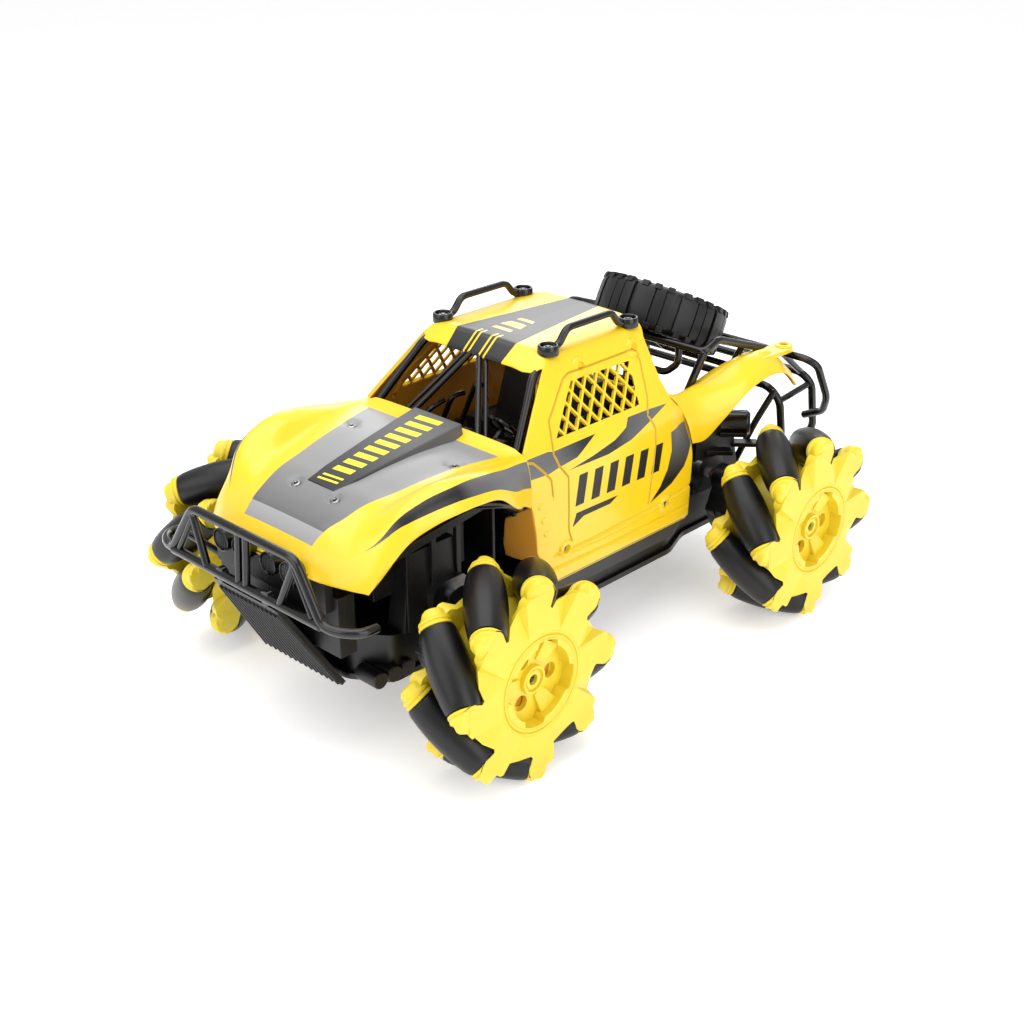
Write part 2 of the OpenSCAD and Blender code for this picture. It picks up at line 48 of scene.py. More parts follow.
# ---- driving sizes, taken from the frame ----
CORNERS = {"fl": (1, -1), "fr": (-1, -1), "rl": (1, 1), "rr": (-1, 1)}
hub_low, hub_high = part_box("wheel_hub_fl")
FACE_X = hub_high.x / MM
HUB_W = (hub_high.x - hub_low.x) / MM
WHEEL_X = FACE_X - HUB_W / 2
AXLE_Y = abs((hub_high.y + hub_low.y) / 2 / MM)
AXLE_Z = (hub_high.z + hub_low.z) / 2 / MM
WHEEL_R = 42.0
ROLLER_OFFSET = 33.7
ROLLER_HALF = 16.0
ROLLERS = 8
DOOR_X = 50.0
SIDES = (-1, 1)


# ---- materials ----

def new_material(name):
    """A node material with its Principled shader, and a function that adds nodes to it."""
    material = bpy.data.materials.new(name)
    material.use_nodes = True
    nodes = material.node_tree.nodes
    links = material.node_tree.links
    shader = nodes["Principled BSDF"]

    def add(kind, settings=None, **inputs):
        node = nodes.new(kind)
        for key, value in (settings or {}).items():
            setattr(node, key, value)
        for key, value in inputs.items():
            socket = node.inputs[key.replace("_", " ")]
            if isinstance(value, bpy.types.NodeSocket):
                links.new(value, socket)
            else:
                socket.default_value = value
        return node

    return material, shader, add, links


def srgb(r, g, b):
    """Linear colour of an sRGB triple in 0..255."""
    return tuple(((c / 255 + 0.055) / 1.055) ** 2.4 if c > 10 else c / 255 / 12.92 for c in (r, g, b)) + (1.0,)


def ranged(add, value, low, high, to_low=0.0, to_high=1.0):
    """Output that maps value from low..high to to_low..to_high."""
    node = add("ShaderNodeMapRange", Value=value, From_Min=low, From_Max=high, To_Min=to_low, To_Max=to_high)
    return node.outputs[0]


def mixed(add, share, first, second):
    """Colour between two colours; each may be a value or another node's output."""
    mix = add("ShaderNodeMix", {"data_type": "RGBA"})
    for socket, value in ((0, share), (6, first), (7, second)):
        if isinstance(value, bpy.types.NodeSocket):
            mix.id_data.links.new(value, mix.inputs[socket])
        else:
            mix.inputs[socket].default_value = value
    return mix.outputs[2]


def mottled(add, color, other, scale, place):
    """Colour that drifts between two tones with a soft noise."""
    noise = add("ShaderNodeTexNoise", Vector=place, Scale=scale, Detail=4.0)
    return mixed(add, ranged(add, noise.outputs[0], 0.35, 0.65), color, other)


def grained(add, links, shader, place, strength, scale, detail):
    """Fine bumps 0.1 mm deep."""
    noise = add("ShaderNodeTexNoise", Vector=place, Scale=scale, Detail=detail)
    bump = add("ShaderNodeBump", Strength=strength, Distance=0.0001, Height=noise.outputs[0])
    links.new(bump.outputs[0], shader.inputs["Normal"])


def plastic(name, color, other, roughness, grain=0.0, coat=0.0, subsurface=0.0, edge=None):
    """Moulded plastic: two close tones, uneven polish, a fine mould grain and paler edges that are a painted highlight.
    """
    material, shader, add, links = new_material(name)
    place = add("ShaderNodeNewGeometry").outputs["Position"]
    tone = mottled(add, srgb(*color), srgb(*other), 28.0, place)
    # Painted highlight: where the bevel normal turns away from the true normal, the tone is mixed towards the paler
    # edge colour.
    if edge:
        bevel = add("ShaderNodeBevel", {"samples": 4}, Radius=0.0006)
        normal = add("ShaderNodeNewGeometry").outputs["Normal"]
        dot = add("ShaderNodeVectorMath", {"operation": "DOT_PRODUCT"})
        links.new(bevel.outputs[0], dot.inputs[0])
        links.new(normal, dot.inputs[1])
        tone = mixed(add, ranged(add, dot.outputs["Value"], 0.995, 0.9, 0.0, 0.5), tone, srgb(*edge))
    links.new(tone, shader.inputs["Base Color"])
    polish = add("ShaderNodeTexNoise", Vector=place, Scale=90.0, Detail=6.0)
    rough = ranged(add, polish.outputs[0], 0.0, 1.0, roughness * 0.8, roughness * 1.25)
    links.new(rough, shader.inputs["Roughness"])
    if grain:
        grained(add, links, shader, place, grain, 2500.0, 3.0)
    values = {"Coat Weight": coat, "Coat Roughness": 0.12, "Subsurface Weight": subsurface,
              "Subsurface Radius": (0.004, 0.002, 0.0006), "Subsurface Scale": 0.4}
    for key, value in values.items():
        shader.inputs[key].default_value = value
    return material


def metal(name, color, roughness, brushed):
    """Turned or plated metal with fine marks."""
    material, shader, add, links = new_material(name)
    place = add("ShaderNodeNewGeometry").outputs["Position"]
    tone = mottled(add, srgb(*color), srgb(*[c * 0.8 for c in color]), 200.0, place)
    links.new(tone, shader.inputs["Base Color"])
    grained(add, links, shader, place, 0.15, brushed, 2.0)
    shader.inputs["Metallic"].default_value = 1.0
    shader.inputs["Roughness"].default_value = roughness
    return material


def rubber(name, color, roughness):
    """Satin black rubber with a fine pebble."""
    material, shader, add, links = new_material(name)
    place = add("ShaderNodeNewGeometry").outputs["Position"]
    tone = mottled(add, srgb(*color), srgb(*[c + 9 for c in color]), 60.0, place)
    links.new(tone, shader.inputs["Base Color"])
    grained(add, links, shader, place, 0.25, 3500.0, 2.0)
    shader.inputs["Roughness"].default_value = roughness
    shader.inputs["Specular IOR Level"].default_value = 0.4
    return material


def fading_print(name, axis, stops, roughness=0.34):
    """Printed decal whose grey changes along one axis of the car; stops are (mm, grey level)."""
    material, shader, add, links = new_material(name)
    place = add("ShaderNodeNewGeometry").outputs["Position"]
    split = add("ShaderNodeSeparateXYZ", Vector=place)
    first, last = stops[0][0], stops[-1][0]
    ramp = add("ShaderNodeValToRGB", Fac=ranged(add, split.outputs[axis], first * MM, last * MM))
    ends = ramp.color_ramp.elements
    for i, (at, grey) in enumerate(stops):
        share = (at - first) / (last - first)
        if i == 0:
            stop = ends[0]
        elif i == len(stops) - 1:
            stop = ends[len(ends) - 1]
        else:
            stop = ends.new(share)
        stop.position = share
        stop.color = srgb(grey, grey, grey + 1)
    links.new(ramp.outputs[0], shader.inputs["Base Color"])
    grained(add, links, shader, place, 0.05, 2600.0, 3.0)
    shader.inputs["Roughness"].default_value = roughness
    return material


YELLOW = plastic("body_yellow", (246, 203, 24), (249, 209, 32), 0.30, 0.05, coat=0.35, subsurface=0.1)
# Darker orange copy of the body yellow: painted shade on the inner sides of the shells, the arch flanges and the hub
# recess floor.
SHADED_INNER = plastic("inner_yellow_painted_shade", (196, 130, 20), (204, 140, 26), 0.5, 0.1)
HUB = plastic("wheel_yellow", (234, 209, 50), (231, 204, 44), 0.40, 0.08, coat=0.12, subsurface=0.1)
BLACK = plastic("frame_black", (3, 3, 4), (6, 6, 7), 0.2, 0.1, coat=0.15)
# The paler edge colour of chassis_black is a painted highlight along its edges.
SATIN = plastic("chassis_black", (4, 4, 5), (8, 8, 9), 0.38, 0.25, edge=(24, 24, 26))
DEEP = plastic("interior_black", (4, 4, 5), (8, 8, 9), 0.5, 0.2)
RUBBER = rubber("roller_rubber", (8, 8, 9), 0.36)
TYRE = rubber("tyre_rubber", (12, 12, 13), 0.42)
STEEL = metal("screw_steel", (170, 170, 172), 0.32, 1800.0)
SCREW_BLACK = metal("black_screw", (60, 60, 62), 0.38, 1500.0)
BRASS = metal("pinion_brass", (200, 160, 80), 0.3, 1500.0)
CAN = metal("motor_can", (140, 140, 145), 0.3, 900.0)
BLUE = plastic("battery_sleeve", (20, 60, 160), (26, 70, 176), 0.35, 0.1)
BOARD = plastic("board_green", (12, 70, 40), (16, 82, 46), 0.4, 0.2)
RED = plastic("switch_red", (180, 24, 20), (190, 30, 24), 0.4, 0.1)
SEAM = plastic("seam_shade", (204, 164, 26), (210, 170, 30), 0.5, 0.1)
GREY = fading_print("decal_grey", 1, [(-128, 96), (-112, 128), (-90, 146), (-60, 150), (-50, 142)])
STRIP = fading_print("decal_strip", 1, [(-132, 150), (-126, 160)])
DARK = fading_print("decal_dark", 1, [(-124, 110), (-113, 22), (-98, 8), (-90, 12), (-84, 84), (-64, 108),
                                      (-40, 104)])
BELT_DARK = fading_print("decal_belt", 1, [(-46, 104), (-30, 96), (-14, 30), (4, 24), (14, 84), (40, 108)])
DOOR_DARK = fading_print("decal_door", 2, [(60, 16), (68, 26), (80, 78), (90, 100)])
DARK_ROOF = fading_print("decal_roof", 1, [(-29, 12), (-22, 34), (-20, 62), (-8, 84), (40, 92)])
SCOOP = fading_print("scoop_dark", 1, [(-112, 26), (-98, 50), (-70, 84), (-50, 92)], 0.4)
PRINT_YELLOW = plastic("print_yellow", (246, 232, 40), (250, 236, 52), 0.4, 0.05)
LENS = plastic("lamp_lens", (34, 34, 36), (44, 44, 46), 0.2, 0.05)
INK = plastic("decal_ink", (16, 15, 14), (20, 19, 18), 0.35, 0.05)


# ---- mesh building ----

class Shape:
    """Gathers vertices (mm) and faces, then makes one object that rides on a body."""

    def __init__(self):
        self.verts = []
        self.faces = []
        self.slots = []
        self.materials = []

    def slot(self, material):
        """Number of a material in this shape, added at first use."""
        if material not in self.materials:
            self.materials.append(material)
        return self.materials.index(material)

    def add(self, verts, faces, material):
        """Adds vertices and the faces between them."""
        base = len(self.verts)
        index = self.slot(material)
        self.verts.extend([tuple(float(c) for c in v) for v in verts])
        self.faces.extend([[base + i for i in f] for f in faces])
        self.slots.extend([index] * len(faces))

    def mirror(self):
        """Adds the same shape on the other side of the car."""
        base = len(self.verts)
        self.verts.extend([(-x, y, z) for x, y, z in self.verts])
        self.faces.extend([[base + i for i in reversed(f)] for f in self.faces])
        self.slots.extend(list(self.slots))

    def make(self, name, body, replaces=(), bevel=0.0, weld=False, solid=0.0, smooth=35.0):
        """Makes the object that rides on a body, fills a material slot and stands in for CAD parts."""
        mesh = bpy.data.meshes.new(name)
        mesh.from_pydata([(x * MM, y * MM, z * MM) for x, y, z in self.verts], [], self.faces)
        for material in self.materials:
            mesh.materials.append(material)
        mesh.polygons.foreach_set("material_index", self.slots)
        mesh.validate()
        piece = bpy.data.objects.new(name, mesh)
        bpy.context.scene.collection.objects.link(piece)
        if weld:
            piece.modifiers.new("weld", "WELD").merge_threshold = 0.02 * MM
        if solid:
            sheet = piece.modifiers.new("solid", "SOLIDIFY")
            sheet.thickness = solid * MM
            sheet.offset = -1.0
            # The inner side of the solidified sheet gets the darker yellow as painted shade.
            mesh.materials.append(SHADED_INNER)
            sheet.material_offset = len(mesh.materials) - 1
            sheet.material_offset_rim = 0
        if bevel:
            edges = piece.modifiers.new("round", "BEVEL")
            edges.width = bevel * MM
            edges.segments = 2
            edges.limit_method = "ANGLE"
            edges.angle_limit = math.radians(38)
            edges.harden_normals = False
        mesh.shade_smooth()
        mesh.set_sharp_from_angle(angle=math.radians(smooth))
        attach(piece, body)
        if replaces:
            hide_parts(*replaces)


def frame_of(direction):
    """Two unit vectors square to a direction."""
    d = Vector(direction).normalized()
    side = d.cross(Vector((0, 0, 1)))
    if side.length < 0.05:
        side = d.cross(Vector((0, 1, 0)))
    side.normalize()
    return side, d.cross(side)


def corner_curve(before, corner, after, bend, share, steps):
    """Points of the curve that replaces a corner, starting a distance bend before it."""
    reach = min(bend, (corner - before).length * share, (after - corner).length * share)
    start = corner + (before - corner).normalized() * reach
    end = corner + (after - corner).normalized() * reach
    for i in range(steps + 1):
        t = i / steps
        yield start * (1 - t) ** 2 + corner * 2 * t * (1 - t) + end * t * t


def rounded_path(points, bend):
    """A polyline with its corners rounded."""
    points = [Vector(p) for p in points]
    path = [points[0]]
    for before, corner, after in zip(points, points[1:], points[2:]):
        path.extend(corner_curve(before, corner, after, bend, 0.48, 6))
    path.append(points[-1])
    return path


def band_faces(rings, count, flip=False):
    """Faces between neighbouring closed rings of count points each."""
    faces = []
    for i in range(rings - 1):
        for k in range(count):
            n = (k + 1) % count
            face = [i * count + k, i * count + n, (i + 1) * count + n, (i + 1) * count + k]
            faces.append([face[0], face[3], face[2], face[1]] if flip else face)
    return faces


def tube(shape, points, r, material, bend=3.0, flat=1.0):
    """A bent tube with closed, slightly domed ends."""
    sides = 14
    path = rounded_path(points, bend)
    side, up = frame_of(path[1] - path[0])
    rings = []
    for i, p in enumerate(path):
        ahead = path[min(i + 1, len(path) - 1)] - path[max(i - 1, 0)]
        ahead.normalize()
        side = (side - ahead * side.dot(ahead)).normalized()
        up = ahead.cross(side)
        rings.append((p, side.copy(), up.copy(), ahead.copy(), 1.0))
    p, s, u, a, _ = rings[0]
    rings.insert(0, (p - a * r * 0.25, s, u, a, 0.72))
    p, s, u, a, _ = rings[-1]
    rings.append((p + a * r * 0.25, s, u, a, 0.72))
    verts = []
    for p, s, u, _, scale in rings:
        for k in range(sides):
            t = 2 * math.pi * k / sides
            verts.append(p + (s * math.cos(t) + u * math.sin(t) * flat) * r * scale)
    faces = band_faces(len(rings), sides)
    last = (len(rings) - 1) * sides
    faces.append(list(range(sides))[::-1])
    faces.append([last + k for k in range(sides)])
    shape.add(verts, faces, material)


def lathe(shape, profile, center, axis, material, sides=40):
    """Turns a profile of (radius, distance along the axis) round an axis."""
    axis = Vector(axis).normalized()
    side, up = frame_of(axis)
    center = Vector(center)
    verts = []
    for r, h in profile:
        for k in range(sides):
            t = 2 * math.pi * k / sides
            verts.append(center + axis * h + (side * math.cos(t) + up * math.sin(t)) * max(r, 0.001))
    shape.add(verts, band_faces(len(profile), sides, True), material)


def block(shape, corners, material):
    """A solid between four lower and four upper corners, both listed anticlockwise from above."""
    faces = [[3, 2, 1, 0], [4, 5, 6, 7], [0, 1, 5, 4], [1, 2, 6, 5], [2, 3, 7, 6], [3, 0, 4, 7]]
    shape.add(corners, faces, material)


def box(shape, low, high, material):
    """An upright block between two corners."""
    (x0, y0, z0), (x1, y1, z1) = low, high
    ring = [(x0, y0), (x1, y0), (x1, y1), (x0, y1)]
    block(shape, [(x, y, z0) for x, y in ring] + [(x, y, z1) for x, y in ring], material)


def sided(side, x, y, z):
    """A point drawn on the +X half, put on one side of the car."""
    return (side * x, y, z)


def side_block(shape, side, corners, material):
    """A block drawn on the +X half, put on one side of the car."""
    order = range(8) if side > 0 else (1, 0, 3, 2, 5, 4, 7, 6)
    block(shape, [sided(side, *corners[i]) for i in order], material)


def taper(shape, side, low, high, material):
    """A tapered side block between two level rectangles (x0, x1, y0, y1, z)."""
    side_block(shape, side, [(x, y, z) for x0, x1, y0, y1, z in (low, high)
                             for x, y in ((x0, y0), (x1, y0), (x1, y1), (x0, y1))], material)


def side_tubes(shape, side, *rows):
    """Black tubes on one side of the car; each row is a radius, a bend radius and the points."""
    for r, bend, *points in rows:
        tube(shape, [sided(side, *p) for p in points], r, BLACK, bend)


def polar(r, degrees):
    """A 2D point at a distance and an angle."""
    return r * math.cos(math.radians(degrees)), r * math.sin(math.radians(degrees))


def bar(shape, p, q, width, height, material):
    """A straight flat bar from p to q."""
    p, q = Vector(p), Vector(q)
    side, up = frame_of(q - p)
    ring = [(-1, -1), (1, -1), (1, 1), (-1, 1)]
    verts = [end + side * a * width / 2 + up * b * height / 2 for end in (p, q) for a, b in ring]
    block(shape, verts, material)


def inside(points, loop):
    """True for each 2D point that lies inside a closed loop."""
    points = np.asarray(points, float)
    loop = np.asarray(loop, float)
    result = np.zeros(len(points), bool)
    for (x0, y0), (x1, y1) in zip(loop, np.roll(loop, -1, 0)):
        crosses = (y0 > points[:, 1]) != (y1 > points[:, 1])
        if y0 != y1:
            at = x0 + (points[:, 1] - y0) * (x1 - x0) / (y1 - y0)
            result ^= crosses & (points[:, 0] < at)
    return result


def distance(points, line, closed):
    """Distance of each 2D point from a polyline."""
    points = np.asarray(points, float)
    line = np.asarray(line, float)
    ends = np.roll(line, -1, 0) if closed else line[1:]
    best = np.full(len(points), 1e9)
    for a, b in zip(line, ends):
        d = b - a
        t = np.clip(((points - a) @ d) / max(d @ d, 1e-12), 0, 1)
        best = np.minimum(best, np.linalg.norm(points - a - t[:, None] * d, axis=1))
    return best


def resample(line, pitch, closed):
    """The same line with points at most a pitch apart."""
    line = [np.array(p, float) for p in line]
    ends = line[1:] + ([line[0]] if closed else [])
    out = []
    for a, b in zip(line, ends):
        count = max(1, int(math.ceil(np.linalg.norm(b - a) / pitch)))
        out.extend(a + (b - a) * i / count for i in range(count))
    if not closed:
        out.append(line[-1])
    return np.array(out)


def curve2(points, steps=6):
    """A smooth open line through 2D points."""
    points = np.array(points, float)
    n = len(points)
    out = []
    for i in range(n - 1):
        p = [points[min(max(i + k, 0), n - 1)] for k in (-1, 0, 1, 2)]
        for j in range(steps):
            t = j / steps
            out.append(0.5 * (2 * p[1] + (p[2] - p[0]) * t + (2 * p[0] - 5 * p[1] + 4 * p[2] - p[3]) * t * t
                              + (3 * p[1] - p[0] - 3 * p[2] + p[3]) * t ** 3))
    out.append(points[-1])
    return np.array(out)


def circle2(center, r, steps=28):
    """Points of a circle in 2D."""
    angles = [2 * math.pi * i / steps for i in range(steps)]
    return [(center[0] + r * math.cos(a), center[1] + r * math.sin(a)) for a in angles]


def rounded2(points, r, steps=5):
    """A closed outline with its corners rounded."""
    loop = [Vector((x, y, 0)) for x, y in points]
    out = []
    for i, corner in enumerate(loop):
        curve = corner_curve(loop[i - 1], corner, loop[(i + 1) % len(loop)], r, 0.45, steps)
        out.extend((p.x, p.y) for p in curve)
    return out


def triangulated(points, edges, loops):
    """Flat triangles of a region inside the first loop and outside the others, all turned anticlockwise."""
    flat, _, triangles, _, _, _ = delaunay_2d_cdt([Vector(p) for p in points], edges, [], 0, 1e-4)
    flat = np.array([tuple(v) for v in flat])
    triangles = np.array([tuple(t) for t in triangles])
    middle = flat[triangles].mean(1)
    keep = inside(middle, loops[0])
    for hole in loops[1:]:
        keep &= ~inside(middle, hole)
    triangles, middle = triangles[keep], middle[keep]
    first, second, third = (flat[triangles[:, k]] for k in range(3))
    turned = np.cross(second - first, third - first) < 0
    triangles[turned] = triangles[turned][:, ::-1]
    return flat, triangles, middle


def square_to(step):
    """Unit vectors to the left of each step of a 2D line."""
    return np.stack([-step[:, 1], step[:, 0]], 1) / np.maximum(np.linalg.norm(step, axis=1), 1e-9)[:, None]


def skin(shape, place, outline, base, holes=(), prints=(), grooves=(), dents=(), pitch=1.5, joins=None):
    """A curved sheet drawn in 2D and put in space by place(uv) -> xyz.

    prints are (loop, material); grooves are (line, half width, depth, material or None);
    dents are functions of uv that give a depth; every edge is rounded but those that joins(uv) marks.
    """
    rim = 0.45
    edges_pitch = pitch * 0.8
    cut = [resample(outline, edges_pitch, True)] + [resample(h, edges_pitch, True) for h in holes]
    lines = [(c, True) for c in cut] + [(resample(p[0], edges_pitch, True), True) for p in prints]
    for line, half, _, _ in grooves:
        line = resample(line, edges_pitch, False)
        side = square_to(np.gradient(line, axis=0))
        lines += [(line, False), (line + side * half, False), (line - side * half, False)]
    points, edges = [], []
    for line, closed in lines:
        base_index = len(points)
        points.extend(line)
        count = len(line)
        edges.extend((base_index + i, base_index + (i + 1) % count) for i in range(count if closed else count - 1))
    low, high = cut[0].min(0), cut[0].max(0)
    rows = np.arange(low[1], high[1], pitch * 0.87)
    grid = np.array([(u, v) for j, v in enumerate(rows)
                     for u in np.arange(low[0] + (j % 2) * pitch / 2, high[0], pitch)])
    fixed = np.array(points)
    near = np.full(len(grid), 1e9)
    for start in range(0, len(fixed), 200):
        part = fixed[start:start + 200]
        near = np.minimum(near, np.linalg.norm(grid[:, None] - part[None], axis=2).min(1))
    grid = grid[(near > pitch * 0.55) & inside(grid, cut[0])]
    rings = []
    for line in cut:
        side = square_to(np.roll(line, -1, 0) - np.roll(line, 1, 0))
        for share in (0.3, 1.0):
            rings += [line - side * rim * share, line + side * rim * share]
    flat, triangles, middle = triangulated(np.concatenate([fixed] + rings + [grid]), edges, cut)
    depth = np.zeros(len(flat))
    for line, half, deep, _ in grooves:
        d = distance(flat, resample(line, edges_pitch, False), False)
        depth += deep * np.clip(1 - d / half, 0, 1)
    for dent in dents:
        depth += dent(flat)
    d = np.full(len(flat), 1e9)
    for line in cut:
        ends = np.roll(line, -1, 0)
        free = ~joins((line + ends) / 2) if joins else np.ones(len(line), bool)
        for a, b in zip(line[free], ends[free]):
            d = np.minimum(d, distance(flat, [a, b], False))
    d = np.clip(d, 0, rim)
    depth += rim - np.sqrt(np.maximum(rim * rim - (rim - d) ** 2, 0))
    h = 0.05
    spot = place(flat)
    du = place(flat + [h, 0]) - place(flat - [h, 0])
    dv = place(flat + [0, h]) - place(flat - [0, h])
    normal = np.cross(du, dv)
    normal /= np.maximum(np.linalg.norm(normal, axis=1), 1e-9)[:, None]
    spot = spot - normal * depth[:, None]
    chosen = [base] * len(triangles)
    for loop, material in prints:
        if material:
            for i in np.nonzero(inside(middle, loop))[0]:
                chosen[i] = material
    for line, half, _, material in grooves:
        if material:
            for i in np.nonzero(distance(middle, resample(line, edges_pitch, False), False) < half * 0.8)[0]:
                chosen[i] = material
    used = np.unique(triangles)
    remap = np.zeros(len(flat), int)
    remap[used] = np.arange(len(used))
    start = len(shape.verts)
    shape.verts.extend([tuple(float(c) for c in v) for v in spot[used]])
    shape.faces.extend([[start + int(remap[i]) for i in t] for t in triangles])
    shape.slots.extend(shape.slot(m) for m in chosen)


def plate(shape, outline, holes, place, low, high, material):
    """A flat plate with holes between two heights; place(x, y, h) -> xyz."""
    loops = [list(outline)] + [list(h) for h in holes]
    points, edges = [], []
    for loop in loops:
        base = len(points)
        points.extend(loop)
        edges.extend((base + i, base + (i + 1) % len(loop)) for i in range(len(loop)))
    flat, triangles, _ = triangulated(points, edges, loops)
    n = len(flat)
    origin = np.array(place(0, 0, 0), float)
    axes = np.array([np.array(place(*v), float) - origin for v in ((1, 0, 0), (0, 1, 0), (0, 0, 1))])
    flips = np.linalg.det(axes) < 0
    verts = [place(x, y, high) for x, y in flat] + [place(x, y, low) for x, y in flat]
    faces = [list(map(int, t)) for t in triangles] + [[int(i) + n for i in reversed(t)] for t in triangles]
    if flips:
        faces = [f[::-1] for f in faces]
    shape.add(verts, faces, material)
    for number, loop in enumerate(loops):
        pts = np.array(loop)
        turn = np.sum(pts[:, 0] * np.roll(pts[:, 1], -1) - pts[:, 1] * np.roll(pts[:, 0], -1)) > 0
        outward = turn == (number == 0)
        count = len(loop)
        verts = [place(x, y, high) for x, y in loop] + [place(x, y, low) for x, y in loop]
        sides = [[i, i + count, (i + 1) % count + count, (i + 1) % count] for i in range(count)]
        if outward == flips:
            sides = [f[::-1] for f in sides]
        shape.add(verts, sides, material)


def hermite(s, h, start, end, start_slope, end_slope):
    """Smooth step of length h between two values with given slopes, at share s."""
    return ((2 * s ** 3 - 3 * s ** 2 + 1) * start + (s ** 3 - 2 * s ** 2 + s) * h * start_slope
            + (3 * s ** 2 - 2 * s ** 3) * end + (s ** 3 - s ** 2) * h * end_slope)


def spline(knots, values, t):
    """Smooth interpolation through values at knots; values may be arrays of any shape."""
    knots = np.asarray(knots, float)
    values = np.asarray(values, float)
    slope = np.gradient(values, knots, axis=0)
    i = np.clip(np.searchsorted(knots, t) - 1, 0, len(knots) - 2)
    h = knots[i + 1] - knots[i]
    s = np.clip((t - knots[i]) / h, 0, 1)
    shape = (len(t),) + (1,) * (values.ndim - 1)
    return hermite(s.reshape(shape), h.reshape(shape), values[i], values[i + 1], slope[i], slope[i + 1])


def net_place(across, along, net):
    """Surface function through a net of stations, drawn as (across, along)."""
    knots = np.array(across, float)

    def place(uv):
        rows = spline(along, net, uv[:, 1])
        slope = np.stack([np.gradient(rows[:, :, k], knots, axis=1) for k in range(3)], 2)
        i = np.clip(np.searchsorted(knots, uv[:, 0]) - 1, 0, len(knots) - 2)
        h = (knots[i + 1] - knots[i])[:, None]
        s = np.clip((uv[:, 0] - knots[i]) / h[:, 0], 0, 1)[:, None]
        n = np.arange(len(uv))
        return hermite(s, h, rows[n, i], rows[n, i + 1], slope[n, i], slope[n, i + 1])

    return place


# ---- body, front part ----

# Stations from the nose to the windscreen; each runs from the middle of the bonnet to the arch lip.
NOSE_U = [0, 13, 26, 33, 42, 48, 53, 59, 62]
NOSE_V = [0, 9, 15, 24, 35, 47, 60, 73, 85, 93, 99.5]
NOSE_NET = [
    [(0, -139.5, 79), (12, -139.5, 79), (24, -139, 79), (30, -138, 78.6), (38, -134.5, 77.6),
     (43, -131.7, 76.8), (46, -129.7, 76.3), (47.2, -129, 76), (47.5, -128.7, 76)],
    [(0, -132.2, 88.2), (12, -132.2, 88.1), (20.5, -132, 87.7), (27, -131.5, 86.8), (36, -129.5, 85.3),
     (42, -127, 85), (46, -125, 85), (48.6, -123.5, 83.5), (49, -122.5, 81.5)],
    [(0, -127, 92.3), (12, -127, 92.2), (21.5, -127, 92), (29, -126, 91), (38, -124, 90),
     (44.5, -121, 91.5), (48, -118.5, 92), (50.5, -117, 89.5), (51, -116.5, 88.5)],
    [(0, -119, 95.6), (14, -119, 95.6), (24, -119, 95.4), (31, -118.5, 95.2), (40, -116.5, 97.5),
     (46, -114.5, 100.5), (50, -112.5, 100), (53, -111.5, 96), (53.3, -111.3, 93.6)],
    [(0, -110, 98.8), (15, -110, 98.8), (26, -110, 98.6), (33, -109.5, 98.8), (42, -107, 104),
     (47.5, -105, 106.5), (52.5, -103.5, 104.5), (56, -102.5, 99.5), (56.4, -102.3, 97.8)],
    [(0, -98, 100.4), (16, -98, 100.4), (28.5, -98, 100.2), (35, -98, 101), (43.5, -96.5, 107.5),
     (49, -95, 109), (54.5, -94, 106.5), (58.3, -93.5, 101), (58.6, -93.4, 99.8)],
    [(0, -85, 102.3), (17, -85, 102.3), (30.7, -85, 102.1), (37, -85, 103), (44.5, -84.5, 107.8),
     (50, -84, 109), (55.5, -83.5, 106.5), (58.8, -83, 101), (59, -83, 100)],
    [(0, -72, 103.6), (18, -72, 103.6), (33, -72, 103.4), (38.5, -72, 104), (45, -72, 107),
     (50, -72, 107.3), (55, -71.5, 105), (58, -71, 99.5), (58.2, -71, 97.8)],
    [(0, -60, 104), (19, -60, 104), (36.4, -60, 103.9), (41, -60, 104.3), (46, -60, 105.5),
     (49.5, -60, 105.2), (53, -60, 102.5), (56, -59.5, 93), (56.2, -59.5, 89.5)],
    [(0, -52, 104.2), (20, -52, 104.2), (38.4, -52, 104.1), (42.5, -52, 104.3), (46, -52, 104.8),
     (48.5, -52, 104.2), (50.6, -52, 101.5), (51.8, -51.5, 90), (52, -51.5, 86.5)],
    [(0, -46, 106.6), (20, -46, 106.6), (40, -46, 106), (43.5, -46, 105), (46, -46, 104.2),
     (47.4, -46, 103.2), (49.3, -46, 97), (50, -46, 89), (50, -46, 83)],
]

nose_place = net_place(NOSE_U, NOSE_V, NOSE_NET)
NOSE_GRID = np.array([(u, v) for u in np.arange(0, 62.01, 0.5) for v in np.arange(0, 99.51, 0.5)])
NOSE_SPOTS = nose_place(NOSE_GRID)


def nose_uv(points, axes):
    """Drawing positions on the front body for points given by two of their coordinates."""
    out = []
    for p in points:
        gap = np.linalg.norm(NOSE_SPOTS[:, axes] - np.array(p, float), axis=1)
        out.append(NOSE_GRID[np.argmin(gap)])
    return np.array(out)


def dimple(center, r, depth):
    """A shallow dished recess round a point of the drawing."""
    center = np.array(center, float)

    def dent(uv):
        d = np.linalg.norm(uv - center, axis=1) / r
        return depth * np.clip(1 - d ** 4, 0, 1)

    return dent


